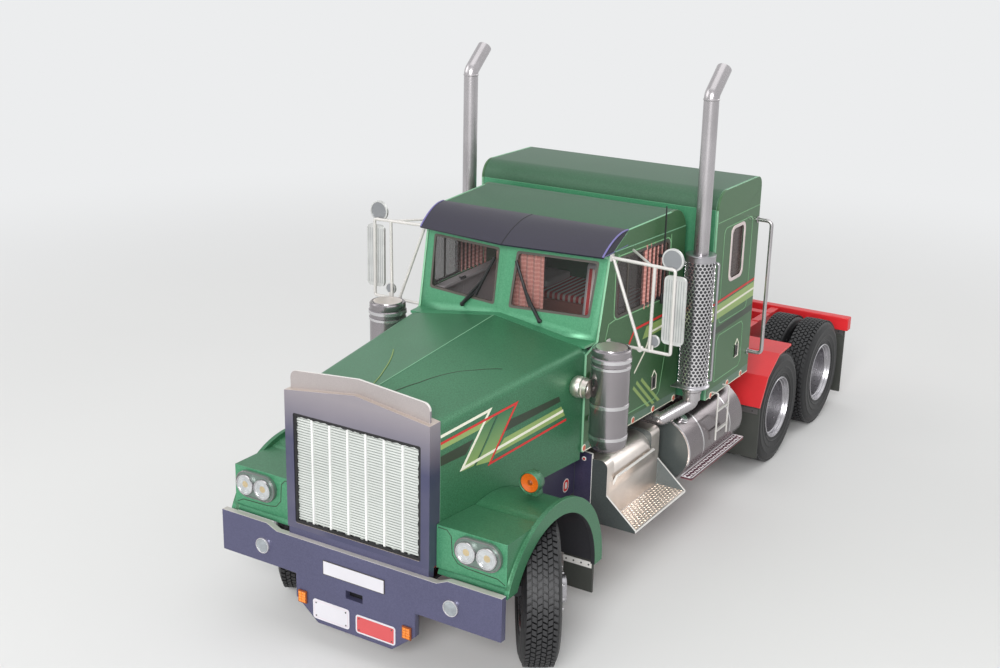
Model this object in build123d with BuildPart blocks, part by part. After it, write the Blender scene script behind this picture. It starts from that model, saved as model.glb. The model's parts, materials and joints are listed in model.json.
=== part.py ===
"""Semi truck tractor unit as a printed-card scale model at 1:25.

Millimetres at the model's own size.  X runs across the truck (+X is the truck's left side),
-Y is forward and +Z is up.  The origin is at the middle of the footprint, on the floor.
Distances written as "behind the nose" run rearward from the bumper's front face.
"""
import os
from math import cos, radians, sin, sqrt

from build123d import *

os.makedirs("parts", exist_ok=True)

# --- overall -------------------------------------------------------------------------------
LENGTH = 286.0              # bumper's front face to the rear beam's rear face
CARD = 0.8                  # thickness of a card panel
THICK_CARD = 1.4            # thickness of a doubled card panel
SEAT_GAP = 0.1              # air between pieces that are seated on each other
SIDES = (("left", 1), ("right", -1))

# --- wheels and steering -------------------------------------------------------------------
TYRE_RADIUS = 21.8
TYRE_WIDTH = 11.0           # across the sidewalls
TREAD_WIDTH = 8.8
RIM_RADIUS = 12.0
RIM_WALL = 0.8
TWIN_GAP = 1.5              # between the two tyres of a twin wheel
FRONT_TRACK_HALF = 42.7     # centre plane of a front wheel, wheels straight ahead
FRONT_AXLE_Y = 29.0         # behind the nose
REAR_OVERHANG = 30.1        # last axle to the rear beam's rear face
AXLE_SPREAD = 49.0          # between the two drive axles
DRIVE_AXLES_Y = (LENGTH - REAR_OVERHANG - AXLE_SPREAD, LENGTH - REAR_OVERHANG)
REAR_OUTER_X = 46.8         # outer sidewall of the rear wheels
KINGPIN_INSET = 1.5         # kingpin inboard of the wheel's centre plane
STEER_ANGLE = 34.0          # the front wheels stand turned to the truck's left
SPINDLE_RADIUS = 1.5
BEARING_CLEARANCE = 0.06    # radial, spindle in hub

# --- chassis -------------------------------------------------------------------------------
RAIL_BOTTOM = 27.0
RAIL_HEIGHT = 11.0
RAIL_OUTER_X = 17.0
RAIL_FLANGE = 3.6
RAIL_WEB = 1.0
CROSSMEMBER_DEPTH = 4.0
FRONT_CROSSMEMBERS_Y = (13.0, 62.0, 105.0, 150.0)
REAR_CROSSMEMBER_LEADS = (20.9, -24.5, -66.1)  # ahead of the first drive axle

# --- nose ----------------------------------------------------------------------------------
BUMPER_HALF = 48.8
BUMPER_BOTTOM = 20.9
BUMPER_TOP = 33.9
BUMPER_DEPTH = 2.2
BUMPER_NOTCH_HALF = 28.0    # half-width of the lowered middle
BUMPER_NOTCH_DROP = 1.6
VALANCE_HALF = 21.0
VALANCE_FOOT_HALF = 13.2
VALANCE_BOTTOM = 7.2
VALANCE_CORNER = 13.5       # height of the chamfered corner's upper end
TOW_SLOT = (6.0, 2.6)       # width, height
TOW_SLOT_Z = 19.5
SHELL_HALF = 24.7
SHELL_FRONT_Y = 1.4
SHELL_DEPTH = 5.0
SHELL_BOTTOM = 34.6
SHELL_PEAK = 79.7
SHELL_CROWN = 3.4           # peak above the shell's upper corners
SHELL_SIDE_TOP = SHELL_PEAK - SHELL_CROWN
MESH_HALF = 21.8
MESH_BOTTOM = 36.3
MESH_TOP = SHELL_SIDE_TOP - 6.3
MESH_CORNER = 0.6
GRILLE_BARS = 6
LIP_HALF = 23.6
LIP_STAND = 4.2             # lip above the shell
LIP_PEAK = SHELL_PEAK + LIP_STAND
LIP_CROWN = 2.1
LIP_END_TOP = LIP_PEAK - LIP_CROWN
LIP_SETBACK = 1.6           # behind the shell's front
LIP_CORNER = 2.2
LIP_LAP = 1.0               # how far the lip reaches down into the shell

# --- hood ----------------------------------------------------------------------------------
HOOD_FRONT_Y = SHELL_FRONT_Y + SHELL_DEPTH + SEAT_GAP
HOOD_REAR_Y = 72.0
HOOD_REAR_HALF = 32.0
HOOD_LAP = 0.8              # the hood's front crest lies this far below the shell's
HOOD_CROWN = 3.0
HOOD_FRONT_CREST = SHELL_PEAK - HOOD_LAP
HOOD_FRONT_CORNER = HOOD_FRONT_CREST - HOOD_CROWN
HOOD_REAR_CREST = 84.7
HOOD_REAR_CORNER = 80.2
HOOD_BOTTOM = 44.0
HOOD_EDGE = 2.6             # rounding of the long top edges
HOOD_TOP_SKIRT = 4.5        # how far the hood's top folds down at the sides

# --- fenders -------------------------------------------------------------------------------
ARCH_Y = 29.5               # centre of the wheel arch
ARCH_Z = 22.0
ARCH_INNER = 25.3
ARCH_SKIN = 1.0
FLANGE_INNER = 23.4
FLANGE_OUTER = 28.0
FLANGE_THICKNESS = 1.4
FENDER_OUTER_X = 48.5
ARCH_FOOT_Z = 21.0          # rear foot of the fender
FENDER_FRONT_FOOT_Z = 32.0
POD_FRONT_Y = 4.7
POD_LENGTH = 16.0
POD_OUTER_X = 47.3
POD_BOTTOM = 34.2
POD_TOP = 47.1
HEADLAMPS_X = (35.4, 42.0)
HEADLAMP_Z = 42.3
HEADLAMP_RADIUS = 3.2
BEZEL_MARGIN = 1.0
BEZEL_DEPTH = 1.3
FOG_LAMP = (33.4, 26.4, 2.7)            # x, z, radius
VALANCE_LAMP = (18.4, 13.9)             # x, z
VALANCE_LAMP_SIZE = (2.6, 3.6)          # width, height
LAMP_DEPTH = 0.8
FENDER_LAMP = (38.0, 31.8, 2.4)         # x, behind the nose, radius
FENDER_LAMP_RISE = 2.0                  # its centre above the fender's skin

# --- cab -----------------------------------------------------------------------------------
CAB_FRONT_Y = 72.4
FIREWALL_DEPTH = 3.4
CAB_BOTTOM = 46.3
CAB_FRONT_HALF = 32.8       # at the firewall
CAB_REAR_HALF = 36.4
CAB_REAR_Y = 131.5
SCREEN_FOOT_Z = HOOD_REAR_CORNER + 0.2
SCREEN_FOOT_CORNER_Y = 78.7
SCREEN_TOP_Z = 106.0
SCREEN_TOP_CORNER_Y = 83.9
SCREEN_VEE = 4.2            # how far the windscreen's middle stands forward of its corners
ROOF_FRONT_Y = 94.0
ROOF_FRONT_Z = 112.3
ROOF_REAR_Z = 113.4
ROOF_REAR_ROUND = 8.0
SCREEN_PILLAR = 1.6         # half-width of the centre pillar
SCREEN_MARGIN = 3.2         # frame round each pane
WINDOW_FRONT_Y = 88.0
WINDOW_REAR_Y = 121.0
WINDOW_BOTTOM = 85.5
WINDOW_TOP = 104.5
WINDOW_ROUND = 2.0
GLASS = 0.4
VISOR_FRONT_Y = 79.4
VISOR_VEE = 4.2
VISOR_FRONT_Z = 106.2
VISOR_SHEET = 0.7
SKIRT_HEIGHT = 3.2

# --- sleeper -------------------------------------------------------------------------------
SLEEPER_FRONT_Y = 135.7
SLEEPER_REAR_Y = 172.6
SLEEPER_HALF = 45.7
SLEEPER_TOP = 118.2
SLEEPER_FRONT_ROUND = 6.0
SLEEPER_REAR_ROUND = 3.5
SLEEPER_WINDOW = (148.7, 159.4, 86.0, 103.8)   # front, rear, bottom, top
BOOT_HALF = 34.0
BOOT_BOTTOM = 50.0
BOOT_TOP = 109.0
BOOT_WALL = 1.6

# --- stacks, air cleaners, mirrors ---------------------------------------------------------
STACK_X = 44.6
STACK_Y = 126.0
STACK_RADIUS = 2.45
STACK_FOOT_RADIUS = 2.9
STACK_BEND_Z = 150.6
STACK_TIP_Z = 158.0
STACK_TIP_LEAN = 8.4
STACK_TIP_RADIUS = 2.8
SHIELD_BOTTOM = 54.5
SHIELD_TOP = 99.8
SHIELD_RADIUS = 4.9
SHIELD_WALL = 0.6
SHIELD_FOOT_RADIUS = 5.7    # disc at the heat shield's foot
CLEANER_X = 41.0
CLEANER_Y = 72.4
CLEANER_RADIUS = 6.3
CLEANER_BOTTOM = 49.4
CLEANER_TOP = 82.2
CLEANER_DOME = 3.0
INTAKE_RADIUS = 3.0
INTAKE_Z = 69.6
MIRROR_Y = 84.0
MIRROR_PLATE = (51.2, 58.2, 82.0, 103.2)       # inner x, outer x, bottom, top
MIRROR_TUBE = 0.7
MIRROR_TOP_Z = 105.8
MIRROR_FOOT_Z = 79.0
MIRROR_FOOT_X = 44.8
MIRROR_STAY_X = 48.1        # upright tube inboard of the plate
WIDE_MIRROR_X = 53.6
WIDE_MIRROR_Z = 107.9
WIDE_MIRROR_RADIUS = 3.5
SPOT_MIRROR_X = 48.7
SPOT_MIRROR_Z = 82.0
SPOT_MIRROR_RADIUS = 1.9

# --- steps and tanks -----------------------------------------------------------------------
STEP_FRONT_Y = 79.4
STEP_REAR_Y = 116.0
STEP_BOTTOM = 20.7
STEP_OUTER_X = 49.0
STEP_BOX_OUTER_X = 38.4
STEP_BOX_TOP = 42.2
STEP_BOX_ROUND = 2.4        # outer top corner of the end boxes
STEP_END_FRONT = 3.8        # depth of the front end box
STEP_END_REAR = 6.0         # depth of the rear end box
COVER_TOP = 41.4            # cover between the end boxes
COVER_ROUND = 7.0
LIP_STRIP = ((38.4, 32.6), (39.9, 36.0), (39.2, 36.4), (38.4, 34.4))     # x, z corners
STEP_PLATE = ((26.8, 44.4), (33.0, 43.6))      # inner and outer top corner, x and z
GUSSET_INNER_X = 33.2
GUSSET_TOP_Z = 35.3
SIDE_PLATE_Y = (57.5, 78.8)
SIDE_PLATE_Z = (29.0, 43.2)
TANK_X = 35.4
TANK_Z = 31.2
TANK_RADIUS = 12.0
TANK_FRONT_Y = 121.6
TANK_TO_FLAP = 16.5         # tank's rear end ahead of the flap behind it
TANK_STEP_OUTER_X = 49.6
TANK_STEP_Z = 24.0
TANK_STEP_LEAD = 2.6        # step plate reaches this far ahead of the tank
TANK_STEP_SHORT = 3.0       # and ends this far before its rear
LADDER_X = 48.5
LADDER_SETBACK = 4.3        # front rail behind the sleeper's front wall
LADDER_WIDTH = 9.4
LADDER_RADIUS = 0.55
HANDLE_SETBACK = 1.6        # grab handle ahead of the sleeper's rear wall
HANDLE_Z = (54.6, 102.8)
HANDLE_STAND = 5.3          # out from the sleeper's side
HANDLE_RADIUS = 0.7

# --- rear ----------------------------------------------------------------------------------
BEAM_HALF = 48.0
BEAM_BOTTOM = 33.0
BEAM_TOP = 38.7
BEAM_DEPTH = 4.0
FLAP = 0.8
REAR_FLAP_X = (23.5, 46.5)
REAR_FLAP_BOTTOM = 4.8
MID_FLAP_BOTTOM = 8.8
FRONT_FLAP_X = (37.0, 47.0)
FRONT_FLAP_BOTTOM = 10.4
QUARTER_CLEARANCE = 2.7     # quarter fender off the tyre
QUARTER_X = (24.0, 48.0)
QUARTER_ANGLES = (17.0, 45.0, 73.0, 101.0)     # folds, up from the horizontal in front
PLATE_RADIUS = 18.3
PLATE_THICKNESS = 2.4
PLATE_TOP = 48.0
PLATE_LEAD = 5.4            # fifth wheel ahead of the drive axles' middle
PLATE_Y = sum(DRIVE_AXLES_Y) / 2 - PLATE_LEAD
KINGPIN_BORE = 1.1

# --- places worked out from the above --------------------------------------------------------
NOSE_Y = -(LENGTH - LAMP_DEPTH - SEAT_GAP) / 2     # the lamps stand proud of the bumper
RAIL_TOP = RAIL_BOTTOM + RAIL_HEIGHT
TWIN_HALF = TYRE_WIDTH / 2 + TWIN_GAP / 2      # twin's middle to each tyre's middle
REAR_TRACK_HALF = REAR_OUTER_X - TWIN_HALF - TYRE_WIDTH / 2
KINGPIN_X = FRONT_TRACK_HALF - KINGPIN_INSET
REAR_CROSSMEMBERS_Y = tuple(DRIVE_AXLES_Y[0] - lead for lead in REAR_CROSSMEMBER_LEADS)
QUARTER_RADIUS = TYRE_RADIUS + QUARTER_CLEARANCE
QUARTER_FOOT_Y = DRIVE_AXLES_Y[0] - QUARTER_RADIUS * cos(radians(QUARTER_ANGLES[0]))
TANK_REAR_Y = QUARTER_FOOT_Y - TANK_TO_FLAP
LADDER_FRONT_Y = SLEEPER_FRONT_Y + LADDER_SETBACK
LADDER_Y = (LADDER_FRONT_Y, LADDER_FRONT_Y + LADDER_WIDTH)


def back(distance):
    """Y of a place given as its distance behind the nose."""
    return NOSE_Y + distance


def slab(x_pair, y_pair, z_pair, mode=Mode.ADD):
    """Box between two limits on each axis, y given behind the nose."""
    x_low, x_high = sorted(x_pair)
    y_low, y_high = sorted(y_pair)
    z_low, z_high = sorted(z_pair)
    middle = ((x_low + x_high) / 2, back((y_low + y_high) / 2), (z_low + z_high) / 2)
    with Locations(middle):
        Box(x_high - x_low, y_high - y_low, z_high - z_low, mode=mode)


def rod(start, end, radius, mode=Mode.ADD):
    """Round bar between two points (x, behind the nose, z)."""
    first = Vector(start[0], back(start[1]), start[2])
    last = Vector(end[0], back(end[1]), end[2])
    with Locations(Plane(origin=(first + last) / 2, z_dir=last - first)):
        Cylinder(radius, (last - first).length, mode=mode)


def side_plane(x):
    """Plane across the truck at x, sketched with (behind the nose, z)."""
    return Plane(origin=(x, NOSE_Y, 0), x_dir=(0, 1, 0), z_dir=(1, 0, 0))


def front_plane(distance):
    """Upright plane at a distance behind the nose, sketched with (x, z), facing forward."""
    return Plane(origin=(0, back(distance), 0), x_dir=(1, 0, 0), z_dir=(0, -1, 0))


def plan_plane(z):
    """Level plane at z, sketched with (x, behind the nose)."""
    return Plane(origin=(0, NOSE_Y, z), x_dir=(1, 0, 0), z_dir=(0, 0, 1))


def polygon(*points):
    """Face with the given corners, in the sketch that is being made."""
    Polygon(*points, align=None)


def hood_half(distance):
    """Hood's half-width at a distance behind the nose."""
    share = (distance - HOOD_FRONT_Y) / (HOOD_REAR_Y - HOOD_FRONT_Y)
    return SHELL_HALF + (HOOD_REAR_HALF - SHELL_HALF) * share


def cab_half(distance):
    """Cab's half-width at a distance behind the nose."""
    share = (distance - CAB_FRONT_Y) / (CAB_REAR_Y - CAB_FRONT_Y)
    return CAB_FRONT_HALF + (CAB_REAR_HALF - CAB_FRONT_HALF) * share


# --- chassis -------------------------------------------------------------------------------
RAIL_REAR_Y = LENGTH - BEAM_DEPTH
HORN_TOP = SHELL_BOTTOM - SEAT_GAP
HORN_REAR_Y = SHELL_FRONT_Y + SHELL_DEPTH + SEAT_GAP

with BuildPart() as chassis_rails:
    for side_name, side in SIDES:
        outer = side * RAIL_OUTER_X
        inner = side * (RAIL_OUTER_X - RAIL_FLANGE)
        slab((outer, inner), (BUMPER_DEPTH, RAIL_REAR_Y), (RAIL_BOTTOM, RAIL_TOP))
        slab((outer - side * RAIL_WEB, inner), (BUMPER_DEPTH, RAIL_REAR_Y),
             (RAIL_BOTTOM + RAIL_WEB, RAIL_TOP - RAIL_WEB), Mode.SUBTRACT)
        slab((outer, inner), (BUMPER_DEPTH, HORN_REAR_Y), (HORN_TOP, RAIL_TOP), Mode.SUBTRACT)
chassis_rails.part.label = "chassis_rails"
export_step(chassis_rails.part, "parts/chassis_rails.step")

CROSS_HALF = RAIL_OUTER_X - RAIL_FLANGE
with BuildPart() as crossmembers:
    for place in FRONT_CROSSMEMBERS_Y + REAR_CROSSMEMBERS_Y:
        half_depth = CROSSMEMBER_DEPTH / 2
        slab((-CROSS_HALF, CROSS_HALF), (place - half_depth, place + half_depth),
             (RAIL_BOTTOM, RAIL_TOP))
crossmembers.part.label = "crossmembers"
export_step(crossmembers.part, "parts/crossmembers.step")

# --- front axle, springs and drive axles -----------------------------------------------------
EYE_RADIUS = 2.1
EYE_HALF = 2.4
PIN_RADIUS = 1.0
PIN_CLEARANCE = 0.06
BEAM_HALF_DEPTH = 1.9
BEAM_DROP = 3.0             # beam's underside below the wheel centres
BEAM_RISE = 0.8             # beam's top above the wheel centres
SPRING_X = RAIL_OUTER_X - RAIL_FLANGE / 2
SPRING_WIDTH = 2.8
SPRING_LEAF = 1.2
FRONT_SPRING_HALF = 20.0
SPRING_HANGER = 2.4

with BuildPart() as front_axle:
    slab((-KINGPIN_X, KINGPIN_X), (FRONT_AXLE_Y - BEAM_HALF_DEPTH, FRONT_AXLE_Y + BEAM_HALF_DEPTH),
         (TYRE_RADIUS - BEAM_DROP, TYRE_RADIUS + BEAM_RISE))
    with Locations((-KINGPIN_X, back(FRONT_AXLE_Y), TYRE_RADIUS),
                   (KINGPIN_X, back(FRONT_AXLE_Y), TYRE_RADIUS)):
        Box(2 * EYE_RADIUS + 2, 2 * EYE_RADIUS + 2, TYRE_RADIUS, mode=Mode.SUBTRACT)
        Cylinder(EYE_RADIUS, 2 * EYE_HALF)
    for side_name, side in SIDES:
        slab((side * (KINGPIN_X - 2 * EYE_RADIUS), side * (KINGPIN_X - PIN_RADIUS)),
             (FRONT_AXLE_Y - BEAM_HALF_DEPTH, FRONT_AXLE_Y + BEAM_HALF_DEPTH),
             (TYRE_RADIUS - EYE_HALF, TYRE_RADIUS + BEAM_RISE))
    with Locations((-KINGPIN_X, back(FRONT_AXLE_Y), TYRE_RADIUS),
                   (KINGPIN_X, back(FRONT_AXLE_Y), TYRE_RADIUS)):
        Cylinder(PIN_RADIUS + PIN_CLEARANCE, 3 * EYE_HALF, mode=Mode.SUBTRACT)
front_axle.part.label = "front_axle"
export_step(front_axle.part, "parts/front_axle.step")

AXLE_TUBE = 2.7
DIFF_RADIUS = 5.6
STUB_RADIUS = 1.8
STUB_REACH = 3.0            # stub's end beyond the twin's middle
TUBE_GAP = 1.0              # axle tube short of the inner tyre
STUB_END = REAR_TRACK_HALF + STUB_REACH
TUBE_END = REAR_TRACK_HALF - TWIN_HALF - TYRE_WIDTH / 2 - TUBE_GAP
REAR_SPRING_REACH = 14.0

with BuildPart() as springs:
    for side_name, side in SIDES:
        inner = side * (SPRING_X - SPRING_WIDTH / 2)
        outer = side * (SPRING_X + SPRING_WIDTH / 2)
        leaf_bottom = TYRE_RADIUS + BEAM_RISE
        front_end = FRONT_AXLE_Y - FRONT_SPRING_HALF
        rear_end = FRONT_AXLE_Y + FRONT_SPRING_HALF
        slab((inner, outer), (front_end, rear_end), (leaf_bottom, leaf_bottom + SPRING_LEAF))
        for hanger in (front_end, rear_end - SPRING_HANGER):
            slab((inner, outer), (hanger, hanger + SPRING_HANGER), (leaf_bottom, RAIL_BOTTOM))
        drive_bottom = TYRE_RADIUS + AXLE_TUBE
        slab((inner, outer),
             (DRIVE_AXLES_Y[0] - REAR_SPRING_REACH, DRIVE_AXLES_Y[1] + REAR_SPRING_REACH),
             (drive_bottom, RAIL_BOTTOM))
springs.part.label = "springs"
export_step(springs.part, "parts/springs.step")

with BuildPart() as drive_axles:
    for place in DRIVE_AXLES_Y:
        rod((-TUBE_END, place, TYRE_RADIUS), (TUBE_END, place, TYRE_RADIUS), AXLE_TUBE)
        rod((-STUB_END, place, TYRE_RADIUS), (STUB_END, place, TYRE_RADIUS), STUB_RADIUS)
        with Locations((0, back(place), TYRE_RADIUS)):
            Sphere(DIFF_RADIUS)
drive_axles.part.label = "drive_axles"
export_step(drive_axles.part, "parts/drive_axles.step")

SHAFT_RADIUS = 1.5
ENGINE_HALF = 11.0
ENGINE_FRONT_Y = 12.0
ENGINE_REAR_Y = 68.0
ENGINE_HEADROOM = 5.9       # below the hood's front corners
ENGINE_TOP = HOOD_FRONT_CORNER - ENGINE_HEADROOM
GEARBOX_HALF = 7.0
GEARBOX_FRONT_Y = FRONT_CROSSMEMBERS_Y[1] + CROSSMEMBER_DEPTH / 2 + SEAT_GAP
GEARBOX_REAR_Y = 96.0
GEARBOX_BOTTOM = 22.4
SHAFT_START_Z = GEARBOX_BOTTOM + 1.8 * SHAFT_RADIUS
with BuildPart() as engine_block:
    slab((-ENGINE_HALF, ENGINE_HALF), (ENGINE_FRONT_Y, ENGINE_REAR_Y), (RAIL_TOP, ENGINE_TOP))
    slab((-GEARBOX_HALF, GEARBOX_HALF), (GEARBOX_FRONT_Y, GEARBOX_REAR_Y),
         (GEARBOX_BOTTOM, RAIL_TOP + CARD))
engine_block.part.label = "engine_block"
export_step(engine_block.part, "parts/engine_block.step")

with BuildPart() as propeller_shafts:
    rod((0, GEARBOX_REAR_Y + SEAT_GAP, SHAFT_START_Z),
        (0, DRIVE_AXLES_Y[0] - DIFF_RADIUS - SEAT_GAP, TYRE_RADIUS), SHAFT_RADIUS)
    rod((0, DRIVE_AXLES_Y[0] + DIFF_RADIUS + SEAT_GAP, TYRE_RADIUS),
        (0, DRIVE_AXLES_Y[1] - DIFF_RADIUS - SEAT_GAP, TYRE_RADIUS), SHAFT_RADIUS)
propeller_shafts.part.label = "propeller_shafts"
export_step(propeller_shafts.part, "parts/propeller_shafts.step")


# --- wheels --------------------------------------------------------------------------------
UP = Vector(0, 0, 1)
HUB_RADIUS = 4.2
HUB_TAPER = 0.6
HUB_END = 3.4               # hub's outer end beyond the rim's disc
DISC = 1.0
FRONT_DISC = 2.1            # front wheel's disc, outboard of its centre plane
FRONT_HAT_RADIUS = 7.6      # raised middle of the front wheel's disc
FRONT_HAT_RISE = 2.6
FRONT_HUB_END = 2.4         # hub's outer end beyond the raised middle
NUT_RADIUS = 0.55
NUT_RING_RADIUS = 7.2
FRONT_NUT_RING_RADIUS = 6.2
FRONT_NUT_HEIGHT = 1.5
NUTS = 10
BEAD_STEP = 0.6             # rim's edge inboard of the sidewall


def wheel_plane(centre, outward):
    """Plane through a wheel's axis, sketched with (outboard, radius)."""
    return Plane(origin=centre, x_dir=outward, z_dir=outward.cross(UP))


def tyre_profile(middle):
    """Tyre's section about its own centre plane, which lies at middle on the axis."""
    tread, wide, bead = TREAD_WIDTH / 2, TYRE_WIDTH / 2, TYRE_WIDTH / 2 - 0.9
    bore = RIM_RADIUS + SEAT_GAP
    shoulder = TYRE_RADIUS - 2.6
    belly = bore + 2.6
    polygon((middle - bead, bore), (middle - wide, belly), (middle - wide, shoulder),
            (middle - tread, TYRE_RADIUS), (middle + tread, TYRE_RADIUS),
            (middle + wide, shoulder), (middle + wide, belly), (middle + bead, bore))


def front_rim_profile():
    """Section of the front wheel: barrel, disc with a raised middle, and bored hub."""
    barrel = TYRE_WIDTH / 2 - BEAD_STEP
    bore = SPINDLE_RADIUS + BEARING_CLEARANCE
    inner = RIM_RADIUS - RIM_WALL
    outer_face = FRONT_DISC + DISC
    polygon((-barrel, inner), (-barrel, RIM_RADIUS), (barrel, RIM_RADIUS), (barrel, inner))
    polygon((FRONT_DISC, bore), (FRONT_DISC, RIM_RADIUS), (outer_face, RIM_RADIUS),
            (outer_face, FRONT_HAT_RADIUS + DISC), (FRONT_HAT_FACE, FRONT_HAT_RADIUS),
            (FRONT_HAT_FACE, HUB_RADIUS), (FRONT_HUB_FACE, HUB_RADIUS - HUB_TAPER),
            (FRONT_HUB_FACE, bore))


FRONT_HAT_FACE = FRONT_DISC + DISC + FRONT_HAT_RISE
FRONT_HUB_FACE = FRONT_HAT_FACE + FRONT_HUB_END
SPINDLE_SHORT = 0.4         # spindle's end inside the hub's
steer = radians(STEER_ANGLE)
for side_name, side in SIDES:
    outward = Vector(side * cos(steer), side * sin(steer), 0)
    kingpin = Vector(side * KINGPIN_X, back(FRONT_AXLE_Y), TYRE_RADIUS)
    centre = kingpin + outward * KINGPIN_INSET
    spin_axis = Axis(centre, outward)
    section = wheel_plane(centre, outward)

    with BuildPart() as front_tyre:
        with BuildSketch(section):
            tyre_profile(0)
        revolve(axis=spin_axis)
    front_tyre.part.label = f"front_tyre_{side_name}"
    export_step(front_tyre.part, f"parts/front_tyre_{side_name}.step")

    hat_plane = Plane(origin=centre + outward * FRONT_HAT_FACE, z_dir=outward)
    with BuildPart() as front_rim:
        with BuildSketch(section):
            front_rim_profile()
        revolve(axis=spin_axis)
        with BuildSketch(hat_plane):
            with PolarLocations(FRONT_NUT_RING_RADIUS, NUTS):
                RegularPolygon(NUT_RADIUS, 6)
        extrude(amount=FRONT_NUT_HEIGHT)
    front_rim.part.label = f"front_rim_{side_name}"
    export_step(front_rim.part, f"parts/front_rim_{side_name}.step")

    knuckle_back = EYE_RADIUS + 0.35
    knuckle_wall = 0.8
    ear = 1.2
    ear_gap = 0.15
    spindle_end = FRONT_HUB_FACE - SPINDLE_SHORT + KINGPIN_INSET
    upright = Plane(origin=kingpin, x_dir=outward, z_dir=(0, 0, 1))
    ear_low = EYE_HALF + ear_gap
    with BuildPart() as knuckle:
        for level in (-ear_low - ear, ear_low):
            with BuildSketch(upright.offset(level)):
                Circle(EYE_RADIUS)
                with Locations((knuckle_back / 2, 0)):
                    Rectangle(knuckle_back, 2 * EYE_RADIUS)
            extrude(amount=ear)
        with BuildSketch(upright.offset(-ear_low - ear)):
            with Locations((knuckle_back + knuckle_wall / 2, 0)):
                Rectangle(knuckle_wall, 2 * EYE_RADIUS)
        extrude(amount=2 * (ear_low + ear))
        with BuildSketch(upright.offset(-ear_low - ear)):
            Circle(PIN_RADIUS)
        extrude(amount=2 * (ear_low + ear))
        with BuildSketch(Plane(origin=kingpin + outward * knuckle_back, z_dir=outward)):
            Circle(SPINDLE_RADIUS)
        extrude(amount=spindle_end - knuckle_back)
    knuckle.part.label = f"knuckle_{side_name}"
    export_step(knuckle.part, f"parts/knuckle_{side_name}.step")

DRIVE_NAMES = ("front", "rear")
TWIN_DISC = 0.2             # twin wheel's disc, outboard of the gap's middle
for axle_name, place in zip(DRIVE_NAMES, DRIVE_AXLES_Y):
    for side_name, side in SIDES:
        outward = Vector(side, 0, 0)
        centre = Vector(side * REAR_TRACK_HALF, back(place), TYRE_RADIUS)
        spin_axis = Axis(centre, outward)
        section = wheel_plane(centre, outward)

        with BuildPart() as drive_tyres:
            with BuildSketch(section):
                tyre_profile(TWIN_HALF)
                tyre_profile(-TWIN_HALF)
            revolve(axis=spin_axis)
        drive_tyres.part.label = f"drive_tyres_{axle_name}_{side_name}"
        export_step(drive_tyres.part, f"parts/drive_tyres_{axle_name}_{side_name}.step")

        bore = STUB_RADIUS + BEARING_CLEARANCE
        barrel_end = TWIN_HALF + TYRE_WIDTH / 2 - BEAD_STEP
        inner = RIM_RADIUS - RIM_WALL
        with BuildPart() as drive_rim:
            with BuildSketch(section):
                polygon((-barrel_end, inner), (-barrel_end, RIM_RADIUS),
                        (barrel_end, RIM_RADIUS), (barrel_end, inner))
                polygon((TWIN_DISC, bore), (TWIN_DISC, RIM_RADIUS), (TWIN_DISC + DISC, RIM_RADIUS),
                        (TWIN_DISC + DISC, HUB_RADIUS), (TWIN_DISC + DISC + HUB_END, HUB_RADIUS - HUB_TAPER),
                        (TWIN_DISC + DISC + HUB_END, bore))
            revolve(axis=spin_axis)
            with BuildSketch(Plane(origin=centre + outward * (TWIN_DISC + DISC), z_dir=outward)):
                with PolarLocations(NUT_RING_RADIUS, NUTS):
                    RegularPolygon(NUT_RADIUS, 6)
            extrude(amount=HUB_END / 2)
        drive_rim.part.label = f"drive_rim_{axle_name}_{side_name}"
        export_step(drive_rim.part, f"parts/drive_rim_{axle_name}_{side_name}.step")

# --- bumper, lamps, radiator shell and grille ------------------------------------------------
NOTCH_SLOPE = 3.6
with BuildPart() as front_bumper:
    with BuildSketch(front_plane(0)):
        low = BUMPER_TOP - BUMPER_NOTCH_DROP
        polygon((-BUMPER_HALF, BUMPER_BOTTOM), (-BUMPER_HALF, BUMPER_TOP),
                (-BUMPER_NOTCH_HALF - NOTCH_SLOPE, BUMPER_TOP), (-BUMPER_NOTCH_HALF, low),
                (BUMPER_NOTCH_HALF, low), (BUMPER_NOTCH_HALF + NOTCH_SLOPE, BUMPER_TOP),
                (BUMPER_HALF, BUMPER_TOP), (BUMPER_HALF, BUMPER_BOTTOM),
                (VALANCE_HALF, BUMPER_BOTTOM), (VALANCE_HALF, VALANCE_CORNER),
                (VALANCE_FOOT_HALF, VALANCE_BOTTOM), (-VALANCE_FOOT_HALF, VALANCE_BOTTOM),
                (-VALANCE_HALF, VALANCE_CORNER), (-VALANCE_HALF, BUMPER_BOTTOM))
        with Locations((0, TOW_SLOT_Z)):
            Rectangle(*TOW_SLOT, mode=Mode.SUBTRACT)
    extrude(amount=-BUMPER_DEPTH)
front_bumper.part.label = "front_bumper"
export_step(front_bumper.part, "parts/front_bumper.step")

with BuildPart() as radiator_shell:
    with BuildSketch(front_plane(SHELL_FRONT_Y)):
        polygon((-SHELL_HALF, SHELL_BOTTOM), (-SHELL_HALF, SHELL_SIDE_TOP), (0, SHELL_PEAK),
                (SHELL_HALF, SHELL_SIDE_TOP), (SHELL_HALF, SHELL_BOTTOM))
        with Locations((0, (MESH_BOTTOM + MESH_TOP) / 2)):
            RectangleRounded(2 * MESH_HALF, MESH_TOP - MESH_BOTTOM, MESH_CORNER, mode=Mode.SUBTRACT)
    extrude(amount=-SHELL_DEPTH)
    with BuildSketch(front_plane(SHELL_FRONT_Y + LIP_SETBACK)) as lip:
        foot = SHELL_SIDE_TOP - LIP_LAP
        polygon((-LIP_HALF, foot), (-LIP_HALF, LIP_END_TOP), (0, LIP_PEAK),
                (LIP_HALF, LIP_END_TOP), (LIP_HALF, foot))
        fillet(lip.vertices().group_by(Axis.Y)[-2], LIP_CORNER)
    extrude(amount=-CARD)
radiator_shell.part.label = "radiator_shell"
export_step(radiator_shell.part, "parts/radiator_shell.step")

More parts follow.
